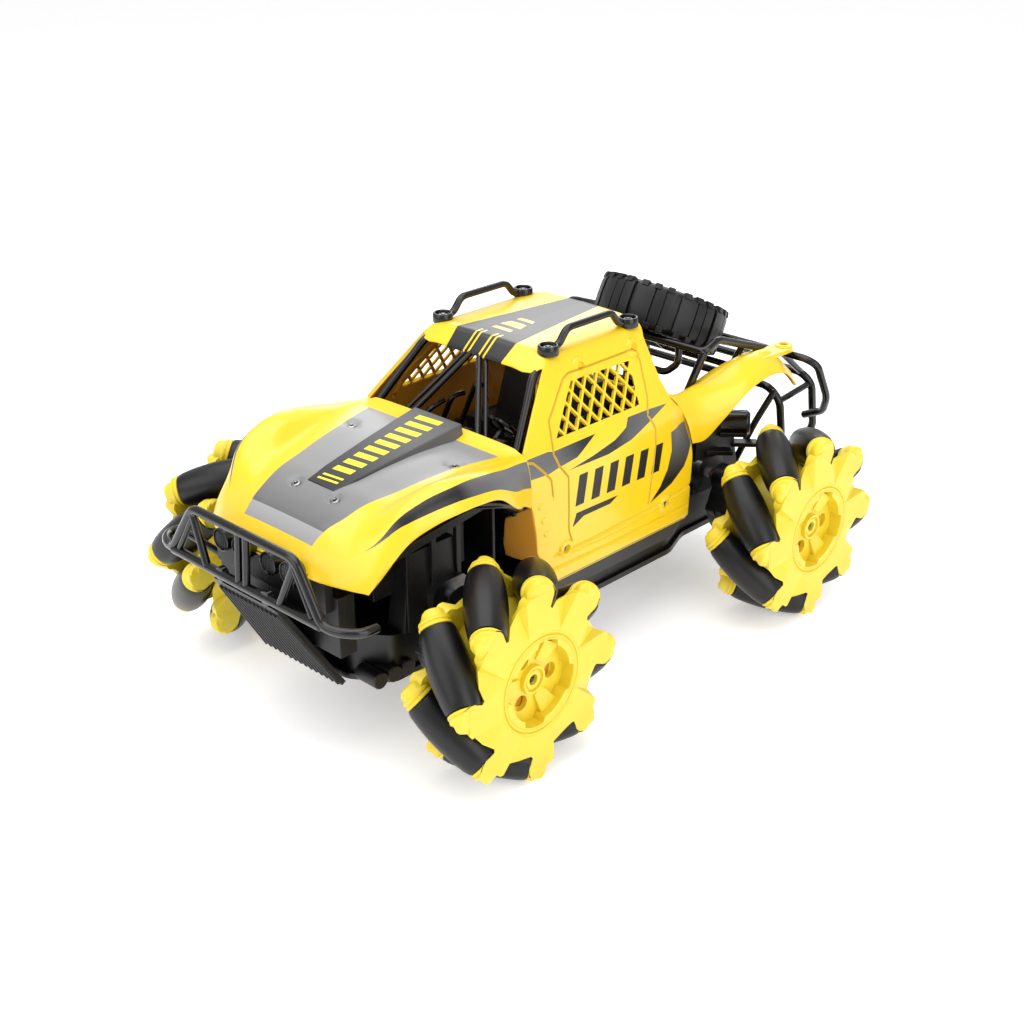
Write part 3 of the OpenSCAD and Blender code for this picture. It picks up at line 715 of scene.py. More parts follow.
def bonnet():
    """Nose, bonnet and both front fenders with their printed panels."""
    shape = Shape()
    outline = [(0, 0)] + [(u, 0) for u in NOSE_U[1:]] + [(62, v) for v in NOSE_V[1:]]
    outline += [(u, 99.5) for u in reversed(NOSE_U[:-1])]
    decal_edge = [(20.3, -131.9), (21.6, -127), (25, -112), (28, -98), (31.3, -80), (34.5, -66), (38.2, -52.4)]
    edge = curve2(nose_uv(decal_edge, [0, 1]))
    fold = nose_uv([(0, -127), (21.6, -127)], [0, 1])
    grey = [(-1, fold[0][1])] + [tuple(p) for p in edge if p[1] >= fold[1][1] - 0.3] + [(-1, edge[-1][1])]
    strip = [(-1, edge[0][1])] + [tuple(p) for p in edge if p[1] <= fold[1][1] + 0.3] + [(-1, fold[0][1])]
    top = [(44.5, 13.5), (48.2, 20), (50.5, 30), (51, 48), (50.2, 61), (49.2, 80), (48.6, 99)]
    low = [(57, 99), (56.6, 80), (56, 64), (55.8, 50), (55.6, 36), (54.4, 25), (50, 18.5)]
    swoosh = [tuple(p) for p in curve2(top)] + [tuple(p) for p in curve2(low)]
    holes = nose_uv([(11.6, -113.1), (30.5, -68.7)], [0, 1])
    skin(shape, nose_place, outline, YELLOW, prints=[(grey, GREY), (strip, STRIP), (swoosh, DARK)],
         dents=[dimple(h, 3.4, 1.4) for h in holes], joins=lambda p: (p[:, 0] < 0.1) | (p[:, 1] > 99.4))
    shape.mirror()
    shape.make("bonnet", "chassis", ["body_shell", "side_panels"], weld=True, solid=1.6)


# ---- body, cab ----

# Half section of the cab from the middle of the roof down to the sill, as (x, z)
CAB_LINE = rounded2([(-40, 137.2), (0, 137.2), (22, 136.8), (33.2, 134.6), (47.2, 103.2), (49.6, 97), (DOOR_X, 86),
                     (DOOR_X, 46), (48.6, 44.6), (-40, 44.6)], 3.0, 6)
CAB_LINE = np.array([p for p in CAB_LINE if p[0] > 0 and p[1] > 44.61] + [(48.6, 44.6)])
CAB_LINE = np.concatenate([[(0, 137.2)], CAB_LINE])
CAB_S = np.concatenate([[0], np.cumsum(np.linalg.norm(np.diff(CAB_LINE, axis=0), axis=1))])


def smoothstep(t):
    """A soft step from 0 to 1."""
    t = np.clip(t, 0, 1)
    return t * t * (3 - 2 * t)


def cab_place(uv):
    """Cab surface from (distance down the half section, y)."""
    s, y = uv[:, 0], uv[:, 1]
    x = np.interp(s, CAB_S, CAB_LINE[:, 0])
    z = np.interp(s, CAB_S, CAB_LINE[:, 1])
    droop = np.clip((-20.5 - y) / 7.5, 0, 1.2) * (1 - smoothstep((s - 32) / 5))
    z = z - 6.4 * droop
    x = x - 3.6 * smoothstep((y - 40) / 16) * smoothstep((z - 72) / 20) * smoothstep((110 - z) / 8)
    return np.stack([x, y, z], 1)


def cab_s(z):
    """Distance down the half section at which the side reaches height z."""
    side = CAB_LINE[:, 0] > 30
    return np.interp(-np.asarray(z, float), -CAB_LINE[side, 1], CAB_S[side])


def side_points(points):
    """Drawing positions on the cab for (y, z) points of its side."""
    return [(float(cab_s(z)), y) for y, z in points]


def clip_convex(loop, window):
    """Part of a loop inside a convex anticlockwise window."""
    out = [np.array(p, float) for p in loop]
    for a, b in zip(window, window[1:] + window[:1]):
        a, b = np.array(a, float), np.array(b, float)
        d = b - a
        kept = []
        for p, q in zip(out, out[1:] + out[:1]):
            sp = d[0] * (p[1] - a[1]) - d[1] * (p[0] - a[0])
            sq = d[0] * (q[1] - a[1]) - d[1] * (q[0] - a[0])
            if sp >= 0:
                kept.append(p)
            if (sp >= 0) != (sq >= 0):
                kept.append(p + (q - p) * sp / (sp - sq))
        out = kept
        if len(out) < 3:
            return []
    return [tuple(p) for p in out]


def area(loop):
    """Area inside a closed loop."""
    pts = np.array(loop)
    return abs(np.sum(pts[:, 0] * np.roll(pts[:, 1], -1) - pts[:, 1] * np.roll(pts[:, 0], -1))) / 2


def lattice_holes():
    """Diamond openings of the side window net, as (y, z) loops."""
    window = [(-27.3, 106.2), (23.4, 106.2), (24.8, 123.2), (-10.6, 123.8)]
    loops = []
    for i in range(-6, 6):
        for j in range(-3, 4):
            y = 2.2 + i * 7.0 + (j % 2) * 3.5
            z = 115.2 + j * 4.5
            diamond = [(y - 2.75, z), (y, z - 3.55), (y + 2.75, z), (y, z + 3.55)]
            part = clip_convex(diamond, window)
            if part and area(part) > 2.4:
                loops.append(rounded2(part, 0.5, 2))
    return loops


# Printed shapes of the door side, as (y, z)
BELT_FLASH = [(-46, 103), (-34, 102.9), (-31, 102.2), (-6, 102.4), (-19, 96.6), (-29.4, 95.6), (-36, 94.6),
              (-46, 95.2)]
REAR_FLASH = [(-24, 92.6), (-10, 94.4), (4, 97), (12, 100), (14.5, 103.4), (27, 103.2), (39.5, 102.6), (27, 98.6),
              (14, 94.2), (0, 92.2)]
DOOR_BLADE = [(40.2, 89.8), (47, 90.6), (53.2, 90.4), (55.2, 82.2), (55.6, 79.6), (50, 71), (42, 65.6), (27.5, 60.8),
              (34, 66.4), (38.6, 73), (41, 81)]
UNDERLINE = [(-19.7, 72.3), (6.3, 71.8), (1.1, 69.5), (-15.2, 69.6), (-22.1, 66.6)]


def door_chevrons():
    """Six plain slanted bars in place of the lettering on the door."""
    loops = []
    for i in range(6):
        y = -20.5 + i * 9.6
        low, high = 75.4 - i * 0.2, 88.6 - i * 0.35
        loops.append([(y, low), (y + 5.2, low), (y + 7.6, high), (y + 2.4, high)])
    return loops


def cab():
    """Roof, pillars, netted windows and doors in one moulding."""
    shape = Shape()
    sill = float(CAB_S[-1])
    front = [(0, -28.4), (14, -28.3), (27, -27.8), (31.5, -26.6), (33.5, -24.6)]
    pillar = side_points([(-23.4, 131.4), (-34.5, 119.4), (-46, 106.6), (-46, 103), (-46, 83.5), (-45, 80)])
    arch = side_points([(-43.2, 70), (-42.6, 62), (-39, 55), (-34.5, 48)]) + [(sill, -32.5), (sill, 54.6)]
    tail = side_points([(55.4, 60), (56.4, 80), (56.6, 90), (54, 94.4), (47, 99.8), (43.4, 103.5), (40, 112),
                        (37.6, 130)])
    back = [(33, 38.6), (30, 39.2), (0, 39.6)]
    outline = front + pillar + arch + tail + back
    holes = [side_points(loop) for loop in lattice_holes()]
    prints = [(side_points(BELT_FLASH), BELT_DARK), (side_points(REAR_FLASH), BELT_DARK),
              (side_points(DOOR_BLADE), DOOR_DARK), (side_points(UNDERLINE), INK)]
    prints += [(side_points(loop), INK) for loop in door_chevrons()]
    roof = [(-1, -30), (15.4, -30), (16.8, -20.5), (12.6, 8), (8.4, 40.5), (-1, 40.5)]
    prints.append((roof, DARK_ROOF))
    for u in (2.6, 5.2):
        prints.append(([(u, -29), (u + 1.0, -29), (u + 1.1, -16.5), (u + 0.1, -16.5)], YELLOW))
    for wide, start, narrow, end in ((5.4, -12, 4.8, -9.6), (5.8, -6.4, 4.4, -1.2), (4.6, 2, 3.8, 4.4)):
        prints.append(([(-1, start), (wide, start), (narrow, end), (-1, end)], YELLOW))
    net_seam = [(-31.4, 101), (-28.8, 112.9), (-14.6, 125.6), (-10.9, 126.9), (3.1, 126.8), (22.7, 126.8), (29.6, 127),
                (31.2, 122), (29.2, 108), (26.4, 101)]
    door_front = [(-31.4, 101), (-29.8, 96.2), (-24.7, 90), (-24.2, 66), (-22.2, 60.5)]
    door_back = [(26.4, 101), (29.8, 94.6), (30, 88), (28.4, 74), (26.2, 60.5)]
    fender_seam = [(-46, 101.9), (-43.1, 100.9), (-34.6, 91.8), (-33.8, 84.2)]
    sill_top = [(-31.5, 57.6), (-14, 57), (38, 58.2), (56, 60.6)]
    sill_mid = [(-24, 55.2), (10, 54.6), (44, 57)]
    sill_low = [(-34.4, 51.6), (10, 50.6), (53.5, 51.4)]
    grooves = [(side_points(line), 0.55, 0.45, SEAM) for line in (net_seam, door_front, door_back, fender_seam)]
    grooves += [(side_points(line), 1.0, 0.75, None) for line in (sill_top, sill_low)]
    grooves.append((side_points(sill_mid), 0.6, 0.4, None))
    ears = [(-3.4, 127.6), (29.4, 127.4)]
    screws = [(-26, 58.6), (38.2, 57)]
    rivets = [(-41.2, 82.4), (-39.5, 75.8), (-37.8, 69.2)]

    def swell(point, height, r, soft):
        """A raised round spot with a soft edge."""
        center = side_points([point])[0]
        return lambda uv: -height * smoothstep((r - np.linalg.norm(uv - center, axis=1)) / soft)

    dents = [dimple(side_points([p])[0], 1.9, 2.2) for p in ears + screws]
    dents += [swell(p, 0.9, 4.2, 0.9) for p in ears + screws] + [swell(p, 0.5, 1.5, 0.6) for p in rivets]
    rings = [circle2(side_points([p])[0], r, 16) for p in ears + screws for r in (1.6, 2.0, 3.4, 4.2)]
    rings += [circle2(side_points([p])[0], r, 12) for p in rivets for r in (0.9, 1.5)]
    prints = [(ring, None) for ring in rings] + prints
    front_edge = float(cab_s(107))
    skin(shape, cab_place, outline, YELLOW, holes, prints, grooves, dents, pitch=1.6,
         joins=lambda p: (p[:, 0] < 0.1) | ((p[:, 1] < -45.9) & (p[:, 0] > front_edge)))
    shape.mirror()
    shape.make("cab", "chassis", ["body_shell"], weld=True, solid=1.6)


def cowl_and_scoop():
    """Raised wedge on the bonnet with plain bars in place of its lettering."""
    shape = Shape()
    # y, half width, height of the top, height of the foot
    stations = [(-110.5, 7.8, 99.0, 98.0), (-100, 9.3, 101.2, 99.6), (-80, 11.2, 104.7, 102.2),
                (-62, 12.7, 107.6, 103.6), (-48.4, 13.8, 109.7, 104.2)]
    verts = []
    for y, half, top, foot in stations:
        verts += [(-half - 1.3, y, foot - 1.5), (-half, y, top), (half, y, top), (half + 1.3, y, foot - 1.5)]
    faces = [[0, 1, 2, 3]]
    for i in range(len(stations) - 1):
        faces += [[4 * i + k, 4 * i + 4 + k, 4 * i + 5 + k, 4 * i + 1 + k] for k in range(3)]
    last = 4 * (len(stations) - 1)
    faces.append([last + 3, last + 2, last + 1, last])
    shape.add(verts, faces, SCOOP)
    shape.make("bonnet_scoop", "chassis", ["body_shell"], bevel=0.5)

    def top(x, y):
        z = float(np.interp(y, [s[0] for s in stations], [s[2] for s in stations]))
        return (x, y, z + 0.06)

    bars = Shape()
    rows = [(-107.6, 1.1), (-104.9, 1.1)] + [(-100.4 + 5.6 * i, 3.1) for i in range(9)]
    for i, (y, length) in enumerate(rows):
        wide = 5.4 if i < 2 else 4.4 + 0.22 * i
        lean = 0.9
        verts = []
        for lift in (-0.25, 0.0):
            for x, dy in ((-wide, 0), (wide, lean), (wide, lean + length), (-wide, length)):
                p = top(x, y + dy)
                verts.append((p[0], p[1], p[2] + lift))
        block(bars, verts, PRINT_YELLOW)
    bars.make("scoop_bars", "chassis")


def screw_heads():
    """Pan heads with a cross recess, set in the dimples of the shell and in the roof cups."""
    shape = Shape()

    def head(place, axis, r=2.0):
        axis = Vector(axis).normalized()
        side, up = frame_of(axis)
        pan = [(r, -1.6), (r, -0.1), (r * 0.9, 0.3), (r * 0.55, 0.6), (r * 0.5, 0.45), (0.01, 0.1)]
        lathe(shape, pan, place, axis, STEEL, 28)
        for turn in (0, 1):
            d = side if turn else up
            p = Vector(place) + axis * 0.42
            bar(shape, p - d * r * 0.5, p + d * r * 0.5, 0.35, 0.3, SCREW_BLACK)

    for side in SIDES:
        head((side * 11.6, -113.1, 96.9), (0, -0.3, 1))
        head((side * 30.5, -68.7, 102.3), (0, -0.1, 1))
        for y, z in ((-26, 58.6), (38.2, 57)):
            head((side * (DOOR_X - 0.9), y, z), (side, 0, 0), 1.5)
        for y in (-16, 32.9):
            head((side * 30.4, y, 137.3), (0, 0, 1), 2.6)
    shape.make("screw_heads", "chassis", ["body_screws"], bevel=0.08)


# ---- rear wings ----

WING_U = [0, 5, 10, 16, 20]
WING_V = [0, 8, 17, 27, 40, 53, 66, 76]
# Stations from the cab to the tail; each runs from the inner edge over the crest to the arch lip.
WING_NET = [
    [(41.5, 46, 104), (43, 47, 102.5), (45.6, 50, 98), (48.8, 53.5, 89), (50.4, 55.4, 80)],
    [(39.5, 54, 100.5), (42.5, 55.5, 100.8), (46.5, 58, 96), (50, 61, 88), (51.2, 63, 79.6)],
    [(38.2, 64, 100), (42.5, 66, 102), (48, 67.5, 98.5), (52.6, 69.5, 91.5), (53.6, 70.5, 86)],
    [(38.4, 75, 103), (43.5, 76.5, 105), (49.5, 77.5, 103), (55, 78.5, 98), (56.8, 79, 94.5)],
    [(43.5, 87.5, 108.6), (47.5, 88, 109), (51.5, 88.5, 107.4), (56.2, 89, 103), (58, 89.4, 100)],
    [(46, 99.5, 109.6), (49.5, 100, 109.3), (53, 100.5, 107.4), (56.8, 101, 104), (58.4, 101.4, 101.6)],
    [(49.6, 110.5, 108.2), (51.5, 110.8, 107.3), (53.6, 111, 105), (57, 112, 101), (58.2, 112.4, 99)],
    [(55.2, 119.5, 97.6), (55.8, 119.9, 96.4), (56.4, 120.4, 94.8), (57, 121, 92.8), (57.4, 121.6, 91.2)]
]

wing_place = net_place(WING_U, WING_V, WING_NET)


def rear_wing():
    """Curved arms over the rear wheels with their screw ears."""
    shape = Shape()
    outline = [(u, 0) for u in WING_U] + [(20, v) for v in WING_V[1:]] + [(u, 76) for u in reversed(WING_U[:-1])]
    outline += [(0, v) for v in reversed(WING_V[1:-1])]
    skin(shape, wing_place, outline, YELLOW)
    shape.mirror()
    shape.make("rear_wings", "chassis", ["body_shell"], weld=True, solid=1.6)
    ears = Shape()
    loop = rounded2([(41.6, 96), (46, 94), (52.5, 101), (54.2, 119), (51.5, 125.6), (46, 125.6), (44.6, 119)], 3.4)
    eye = (49.4, 120.8)
    height = 107.2
    plate(ears, loop, [circle2(eye, 1.9, 20)], lambda x, y, h: (x, y, height + h), -1.0, 1.0, YELLOW)
    ring = [(1.9, -1.2), (1.9, 1.9), (3.0, 1.9), (4.1, 1.5), (4.3, -1.2)]
    lathe(ears, ring, (*eye, height), (0, 0, 1), YELLOW, 28)
    ears.mirror()
    ears.make("wing_ears", "chassis", bevel=0.3)


# ---- wheels ----

def wheel_place(side, end):
    """Puts a wheel drawing (across, along, up from the axle) into the car; across is outward."""
    def put(x, y, z):
        return (side * x, end * AXLE_Y + y, AXLE_Z + z)
    return put


FIRST_ROLLER = 22.5
BETWEEN_ROLLERS = 360 / ROLLERS
# Edge of one petal as (roller counted from, along the rim, out from the axle, drop below the face), then of its back
PETAL_FACE = [(0, 6.0, 29.2, 0.1), (0, 7.3, 29.8, 0), (0, 7.3, 35.0, 0), (0, 8.4, 36.2, 0), (0, 14.2, 34.4, 0),
              (0, 19.4, 31.6, 0), (0, 20.4, 30.0, 0.3), (1, -4.2, 33.2, 3.4), (1, 2.0, 31.6, 2.2)]
PETAL_BACK = [(0, 7.4, 26.4), (0, 12.2, 28.0), (0, 12.2, 33.4), (0, 12.6, 34.2), (0, 14.6, 33.4), (0, 18.6, 31.0),
              (0, 19.4, 29.6), (1, -5.2, 32.6), (1, 0.0, 30.6)]
PLATE_BACK = 5.0
PLATE_IN = 21.0
PLATE_IN_ANGLES = (6.0, 22.0, 40.0)
# Sleeve round one end of a roller, as (radius, distance from the middle of the roller)
COLLAR = [(1.2, 16.25), (6.1, 16.25), (6.4, 16.5), (6.4, 17.3), (5.9, 17.5), (5.9, 18.0), (6.25, 18.2), (6.25, 19.0),
          (5.5, 19.5), (5.1, 20.4), (4.9, 22.0), (4.3, 22.8), (3.0, 23.3), (0.01, 23.5)]
COLLAR_STEPS = 32


def petals(shape, put, side, flip):
    """One face of a wheel: a plate with eight petals, sloped between them, and the collars of the roller ends."""
    half = HUB_W / 2
    turn = -1 if flip else 1
    pitch = 2 * math.pi / ROLLERS

    def spot(x, k, t, r):
        """x counts from the wheel's middle towards this face, t and r from roller k."""
        angle = math.radians(FIRST_ROLLER) + turn * (k * pitch + math.atan2(t, r))
        reach = math.hypot(t, r)
        return put(WHEEL_X + x * turn, reach * math.cos(angle), reach * math.sin(angle))

    verts, faces = [], []
    for k in range(ROLLERS):
        verts += [spot(half - drop, k + step, t, r) for step, t, r, drop in PETAL_FACE]
        verts += [spot(half - PLATE_BACK, k + step, t, r) for step, t, r in PETAL_BACK]
        for x in (half, half - PLATE_BACK):
            for a in PLATE_IN_ANGLES:
                out, along = polar(PLATE_IN, a)
                verts.append(spot(x, k, along, out))
    edge = len(PETAL_FACE)
    size = len(verts) // ROLLERS
    rings = 2 * edge
    for k in range(ROLLERS):
        at, after = k * size, (k + 1) % ROLLERS * size
        faces.append([at + rings, at, at + 1, at + rings + 1])
        faces.append([at + rings + 1] + [at + i for i in range(1, 7)] + [at + rings + 2])
        faces.append([at + rings + 2, at + 6, at + 7])
        faces.append([at + rings + 2, at + 7, at + 8])
        faces.append([at + rings + 2, at + 8, after])
        faces.append([at + rings + 2, after, after + rings])
        faces.append([after + edge] + [at + edge + i for i in reversed(range(edge))]
                     + [at + rings + 3, at + rings + 4, at + rings + 5, after + rings + 3])
        for i in range(edge):
            a, b = (at + i, at + i + 1) if i + 1 < edge else (at + i, after)
            faces.append([a, a + edge, b + edge, b])
        inner = [at + rings, at + rings + 1, at + rings + 2, after + rings]
        for a, b in zip(inner, inner[1:]):
            faces.append([a, b, b + 3, a + 3])
    if side < 0:
        faces = [f[::-1] for f in faces]
    shape.add(verts, faces, HUB)
    for k in range(ROLLERS):
        theta = math.radians(FIRST_ROLLER + BETWEEN_ROLLERS * k)

        def local(x, t, r):
            return put(WHEEL_X + x * turn, r * math.cos(theta) - t * turn * math.sin(theta),
                       r * math.sin(theta) + t * turn * math.cos(theta))

        verts = []
        for r, h in COLLAR:
            for i in range(COLLAR_STEPS):
                a = 2 * math.pi * i / COLLAR_STEPS
                across, along = r * math.cos(a), r * math.sin(a)
                held = min(h, (half - 0.06) * math.sqrt(2) - across)
                x = (held + across) * math.sqrt(0.5)
                t = (held - across) * math.sqrt(0.5)
                verts.append(local(x, t, ROLLER_OFFSET + along))
        faces = band_faces(len(COLLAR), COLLAR_STEPS)
        if side < 0:
            faces = [f[::-1] for f in faces]
        shape.add(verts, faces, HUB)


def hub(name, side, end):
    """Wheel hub: eight-petal plates on both faces, spoked centre cap, screw boss and drum."""
    shape = Shape()
    put = wheel_place(side, end)
    half = HUB_W / 2
    petals(shape, put, side, False)
    petals(shape, put, side, True)
    out = (side, 0, 0)
    mid = put(WHEEL_X, 0, 0)
    drum = [(17.0, half - 5.4), (17.0, half - 7.5), (12, half - 7.5), (12, -half + 3), (16.5, -half + 3), (16.5, -half),
            (20.6, -half), (21.2, -half + 0.5), (21.2, -half + 4.5), (24.8, -half + 4.6), (24.8, half - 4.6),
            (21.2, half - 4.5), (21.2, half - 0.5), (20.8, half - 0.02), (20.0, half - 0.02),
            (19.8, half - 0.5), (19.55, half - 0.7), (19.3, half - 0.5), (19.1, half), (17.9, half)]
    lathe(shape, drum, mid, out, HUB, 96)

    def face(x, y, h):
        return put(WHEEL_X + half - 5.4 + h, x, y)

    notch = []
    for i in range(96):
        a = 2 * math.pi * i / 96
        r = 17.4 if (math.degrees(a) + 30) % 90 < 34 else 15.4
        notch.append((r * math.cos(a), r * math.sin(a)))
    plate(shape, circle2((0, 0), 18.2, 96), [notch], face, 0.0, 5.4, HUB)
    holes = [circle2(polar(9.9, a), 3.2, 28) for a in (-3, 117, 237)]
    holes.append(circle2((0, 0), 2.3, 24))
    plate(shape, circle2((0, 0), 17.8, 64), holes, face, -2.2, 0.0, HUB)
    boss = [(2.2, -1.5), (2.2, 1.3), (3.6, 1.3), (3.8, 0.8), (4.5, 0.8), (4.7, 1.9), (5.6, 1.9), (5.9, 0.0)]
    lathe(shape, boss, face(0, 0, 0), out, HUB, 36)
    for a in (57, 177, 297):
        c, s = math.cos(math.radians(a)), math.sin(math.radians(a))
        corners = []
        for h in (0.0, 2.6):
            for r, w in ((7.2, -2.4), (15.6, -4.2), (15.6, 4.2), (7.2, 2.4)):
                corners.append(face(r * c - w * s, r * s + w * c, h if r > 8 else h * 0.25))
        block(shape, corners, HUB)
    # Recess floor behind the cap holes in the darker yellow: painted shade.
    lathe(shape, [(17.5, -3.4), (17.5, -2.6), (0.01, -2.6)], face(0, 0, 0), out, SHADED_INNER, 32)
    shape.make("hub_" + name, "wheel_" + name, ["wheel_hub_" + name], bevel=0.32, smooth=32)


def roller(name, number, side, end):
    """One rubber barrel with its plastic core ends."""
    shape = Shape()
    theta = math.radians(FIRST_ROLLER + BETWEEN_ROLLERS * (number - 1))
    center = wheel_place(side, end)(WHEEL_X, ROLLER_OFFSET * math.cos(theta), ROLLER_OFFSET * math.sin(theta))
    axis = (side, -math.sin(theta), math.cos(theta))

    def barrel(s):
        return math.sqrt(WHEEL_R ** 2 - s * s / 2) - ROLLER_OFFSET

    tip = ROLLER_HALF - 0.15
    body = [(4.6, -ROLLER_HALF + 0.5), (6.0, -ROLLER_HALF + 0.1)]
    body += [(barrel(s) - (0.25 if abs(s) > 15.5 else 0), s) for s in np.linspace(-tip, tip, 18)]
    body += [(6.0, ROLLER_HALF - 0.1), (4.6, ROLLER_HALF - 0.5)]
    lathe(shape, body, center, axis, RUBBER, 44)
    for sign in (-1, 1):
        core = [(4.7, sign * 14), (4.4, sign * 16.2), (1.1, sign * 16.2)]
        lathe(shape, core if sign > 0 else core[::-1], center, axis, SATIN, 24)
    shape.make(f"rubber_{name}_{number}", f"roller_{name}_{number}", [f"roller_{name}_{number}"])


# ---- spare tyre ----

SPARE_LEAN = math.radians(28)
SPARE_CENTER = (0, 92, 119.2)
SPARE_AXIS = Vector((0, math.sin(SPARE_LEAN), math.cos(SPARE_LEAN)))


def spare_tyre():
    """Treaded tyre on a dished rim, leaning back on the rack."""
    center = Vector(SPARE_CENTER)
    axis = SPARE_AXIS
    across = Vector((1, 0, 0))
    third = axis.cross(across)
    shape = Shape()
    half = 10.4
    side = [(15.2, -half + 1.4), (17, -half + 0.4), (22, -half), (25.6, -half + 0.6), (27.4, -half + 1.7),
            (28.5, -half + 3.4)]
    profile = side + [(28.9, 0)] + [(x, -h) for x, h in reversed(side)]
    lathe(shape, profile, center, axis, TYRE, 72)

    def spot(a, rad, h):
        return center + (across * math.cos(a) + third * math.sin(a)) * rad + axis * h

    def lug(a0, a1, rows):
        """A tread block bent round the tyre between two angles; rows are (height, radius) across its top."""
        steps = 3
        count = len(rows)
        verts = []
        for i in range(steps + 1):
            a = a0 + (a1 - a0) * i / steps
            verts += [spot(a, rad, h) for h, rad in rows]
        faces = [list(range(count))]
        for i in range(steps):
            for k in range(count - 1):
                faces.append([count * i + k, count * i + count + k, count * i + count + 1 + k, count * i + k + 1])
        faces.append([count * steps + k for k in reversed(range(count))])
        shape.add(verts, [f[::-1] for f in faces], TYRE)

    rib = [(-half + 1.6, 27.0), (-half + 1.3, 28.4), (-half + 2.2, 29.5), (-half + 4.4, 30.1)]
    rib += [(0, 30.3)] + [(-h, rad) for h, rad in reversed(rib)]
    edge_lug = [(half - 3.2, 28.0), (half - 2.6, 30.2), (half - 0.2, 29.7), (half + 0.1, 27.8), (half - 0.5, 25.4)]
    groups = 9
    for g in range(groups):
        a = 2 * math.pi * g / groups
        for start, end in ((0.8, 16.6), (17.6, 26.4), (27.4, 36.6)):
            lug(a + math.radians(start), a + math.radians(end), rib)
        for start, end in ((3.0, 9.0), (15.0, 21.0), (27.0, 33.0)):
            lug(a + math.radians(start), a + math.radians(end), edge_lug)
            lug(a + math.radians(start), a + math.radians(end), [(-h, rad) for h, rad in reversed(edge_lug)])
    rim = [(15.4, -half + 1.5), (14.6, -half + 1.2), (13.8, -half + 3.4)]
    rim += [(13.2, 0)] + [(rad, -h) for rad, h in reversed(rim)]
    lathe(shape, rim, center, axis, BLACK, 48)
    dish = [(0.01, 4.2), (3.6, 4.2), (4.0, 3.4), (6.5, 2.2), (13.5, 3.6)]
    lathe(shape, dish[::-1], center, axis, BLACK, 48)
    lathe(shape, [(13.5, -4.6), (6.5, -5.6), (0.01, -5.6)], center, axis, BLACK, 48)
    for i in range(6):
        a = i * math.pi / 3
        bar(shape, spot(a, 4.6, 3.2), spot(a, 13.6, 4.4), 2.6, 1.8, BLACK)
    shape.make("spare_tyre_treaded", "chassis", ["spare_tyre"], bevel=0.2)


# ---- bumper, lamps and rack ----

def front_bumper():
    """Tube bumper with its struts, stub pins and ribbed skid plate."""
    shape = Shape()
    for side in SIDES:
        side_tubes(shape, side,
                   (1.9, 4.0, (0, -148, 91.9), (31, -148, 91.9), (45.5, -149, 70.6), (53, -147.4, 70.4),
                    (59, -142.5, 70.2), (59, -135, 69.8)),
                   (1.9, 3, (0, -149.6, 70.6), (45, -149.2, 70.6)),
                   (1.3, 3, (29.5, -148.3, 90.6), (40.5, -149.2, 72.4)),
                   (1.6, 3, (31, -148.2, 90), (22.5, -149.6, 71.5)),
                   (1.5, 3, (2.3, -148, 91), (2.3, -149.6, 71)),
                   (1.5, 5, (58.6, -136.5, 69.8), (46, -127, 60), (30, -118, 50)))
        stub = [(1.2, -1.9), (2.6, -2.3), (3.0, -1.9), (3.0, 0.6), (1.2, 0.9)]
        lathe(shape, stub, (side * 13.9, -149.6, 70.6), (0, -1, 0), BLACK, 24)
    foot = Vector((0, -122.2, 26.9))
    slope = math.radians(121.7)
    along = Vector((0, math.cos(slope), math.sin(slope)))
    out = Vector((0, -math.sin(slope), math.cos(slope)))

    def on_plate(x, s, h):
        p = foot + along * s + out * h
        return (x, p.y, p.z)

    plate(shape, rounded2([(-24.3, 0), (24.3, 0), (19.2, 49), (-19.2, 49)], 2.0), [], on_plate, 0.2, 2.2, SATIN)
    for i in range(-7, 8):
        low, high = 3.2 * i, 2.5 * i
        rib = [(low, 0.7, 1.2, 2.0), (high, 0.6, 45, 2.0), (low, 0.45, 1.6, 3.2), (high, 0.35, 44.6, 3.2)]
        corners = []
        for (x0, w0, s0, h0), (x1, w1, s1, h1) in (rib[:2], rib[2:]):
            corners += [on_plate(x0 - w0, s0, h0), on_plate(x0 + w0, s0, h0),
                        on_plate(x1 + w1, s1, h1), on_plate(x1 - w1, s1, h1)]
        block(shape, corners, SATIN)
    box(shape, (-10, -127, 33), (10, -121.1, 39), SATIN)
    shape.make("tube_bumper", "chassis", ["front_bumper"], bevel=0.2)


def headlamps():
    """Round lamps with cross-ribbed lenses on a mounting bar."""
    shape = Shape()
    for x in (-20.2, -8.6, 8.6, 20.2):
        center = (x, -138, 80.8)
        cup = [(0.01, 0), (3.6, 0), (4.4, 1.2), (4.7, 3.2), (4.7, 6.0), (4.2, 6.2), (3.9, 5.6), (3.8, 5.2), (0.01, 5.5)]
        lathe(shape, cup, center, (0, -1, 0), BLACK, 36)
        for i in range(-3, 4):
            reach = math.sqrt(3.7 ** 2 - (i * 1.05) ** 2)
            for dx, dz in ((1, 0), (0, 1)):
                a = (x + i * 1.05 * dz - reach * dx, -143.5, 80.8 + i * 1.05 * dx - reach * dz)
                b = (x + i * 1.05 * dz + reach * dx, -143.5, 80.8 + i * 1.05 * dx + reach * dz)
                bar(shape, a, b, 0.4, 0.7, LENS)
    box(shape, (-25, -139, 77.4), (25, -137.6, 80), BLACK)
    box(shape, (-33, -137.4, 66), (33, -133.5, 78), DEEP)
    for x in (-15, 15):
        box(shape, (x - 1.6, -139, 71), (x + 1.6, -137.6, 78), BLACK)
    shape.make("lamp_row", "chassis", ["headlamps"], bevel=0.15)


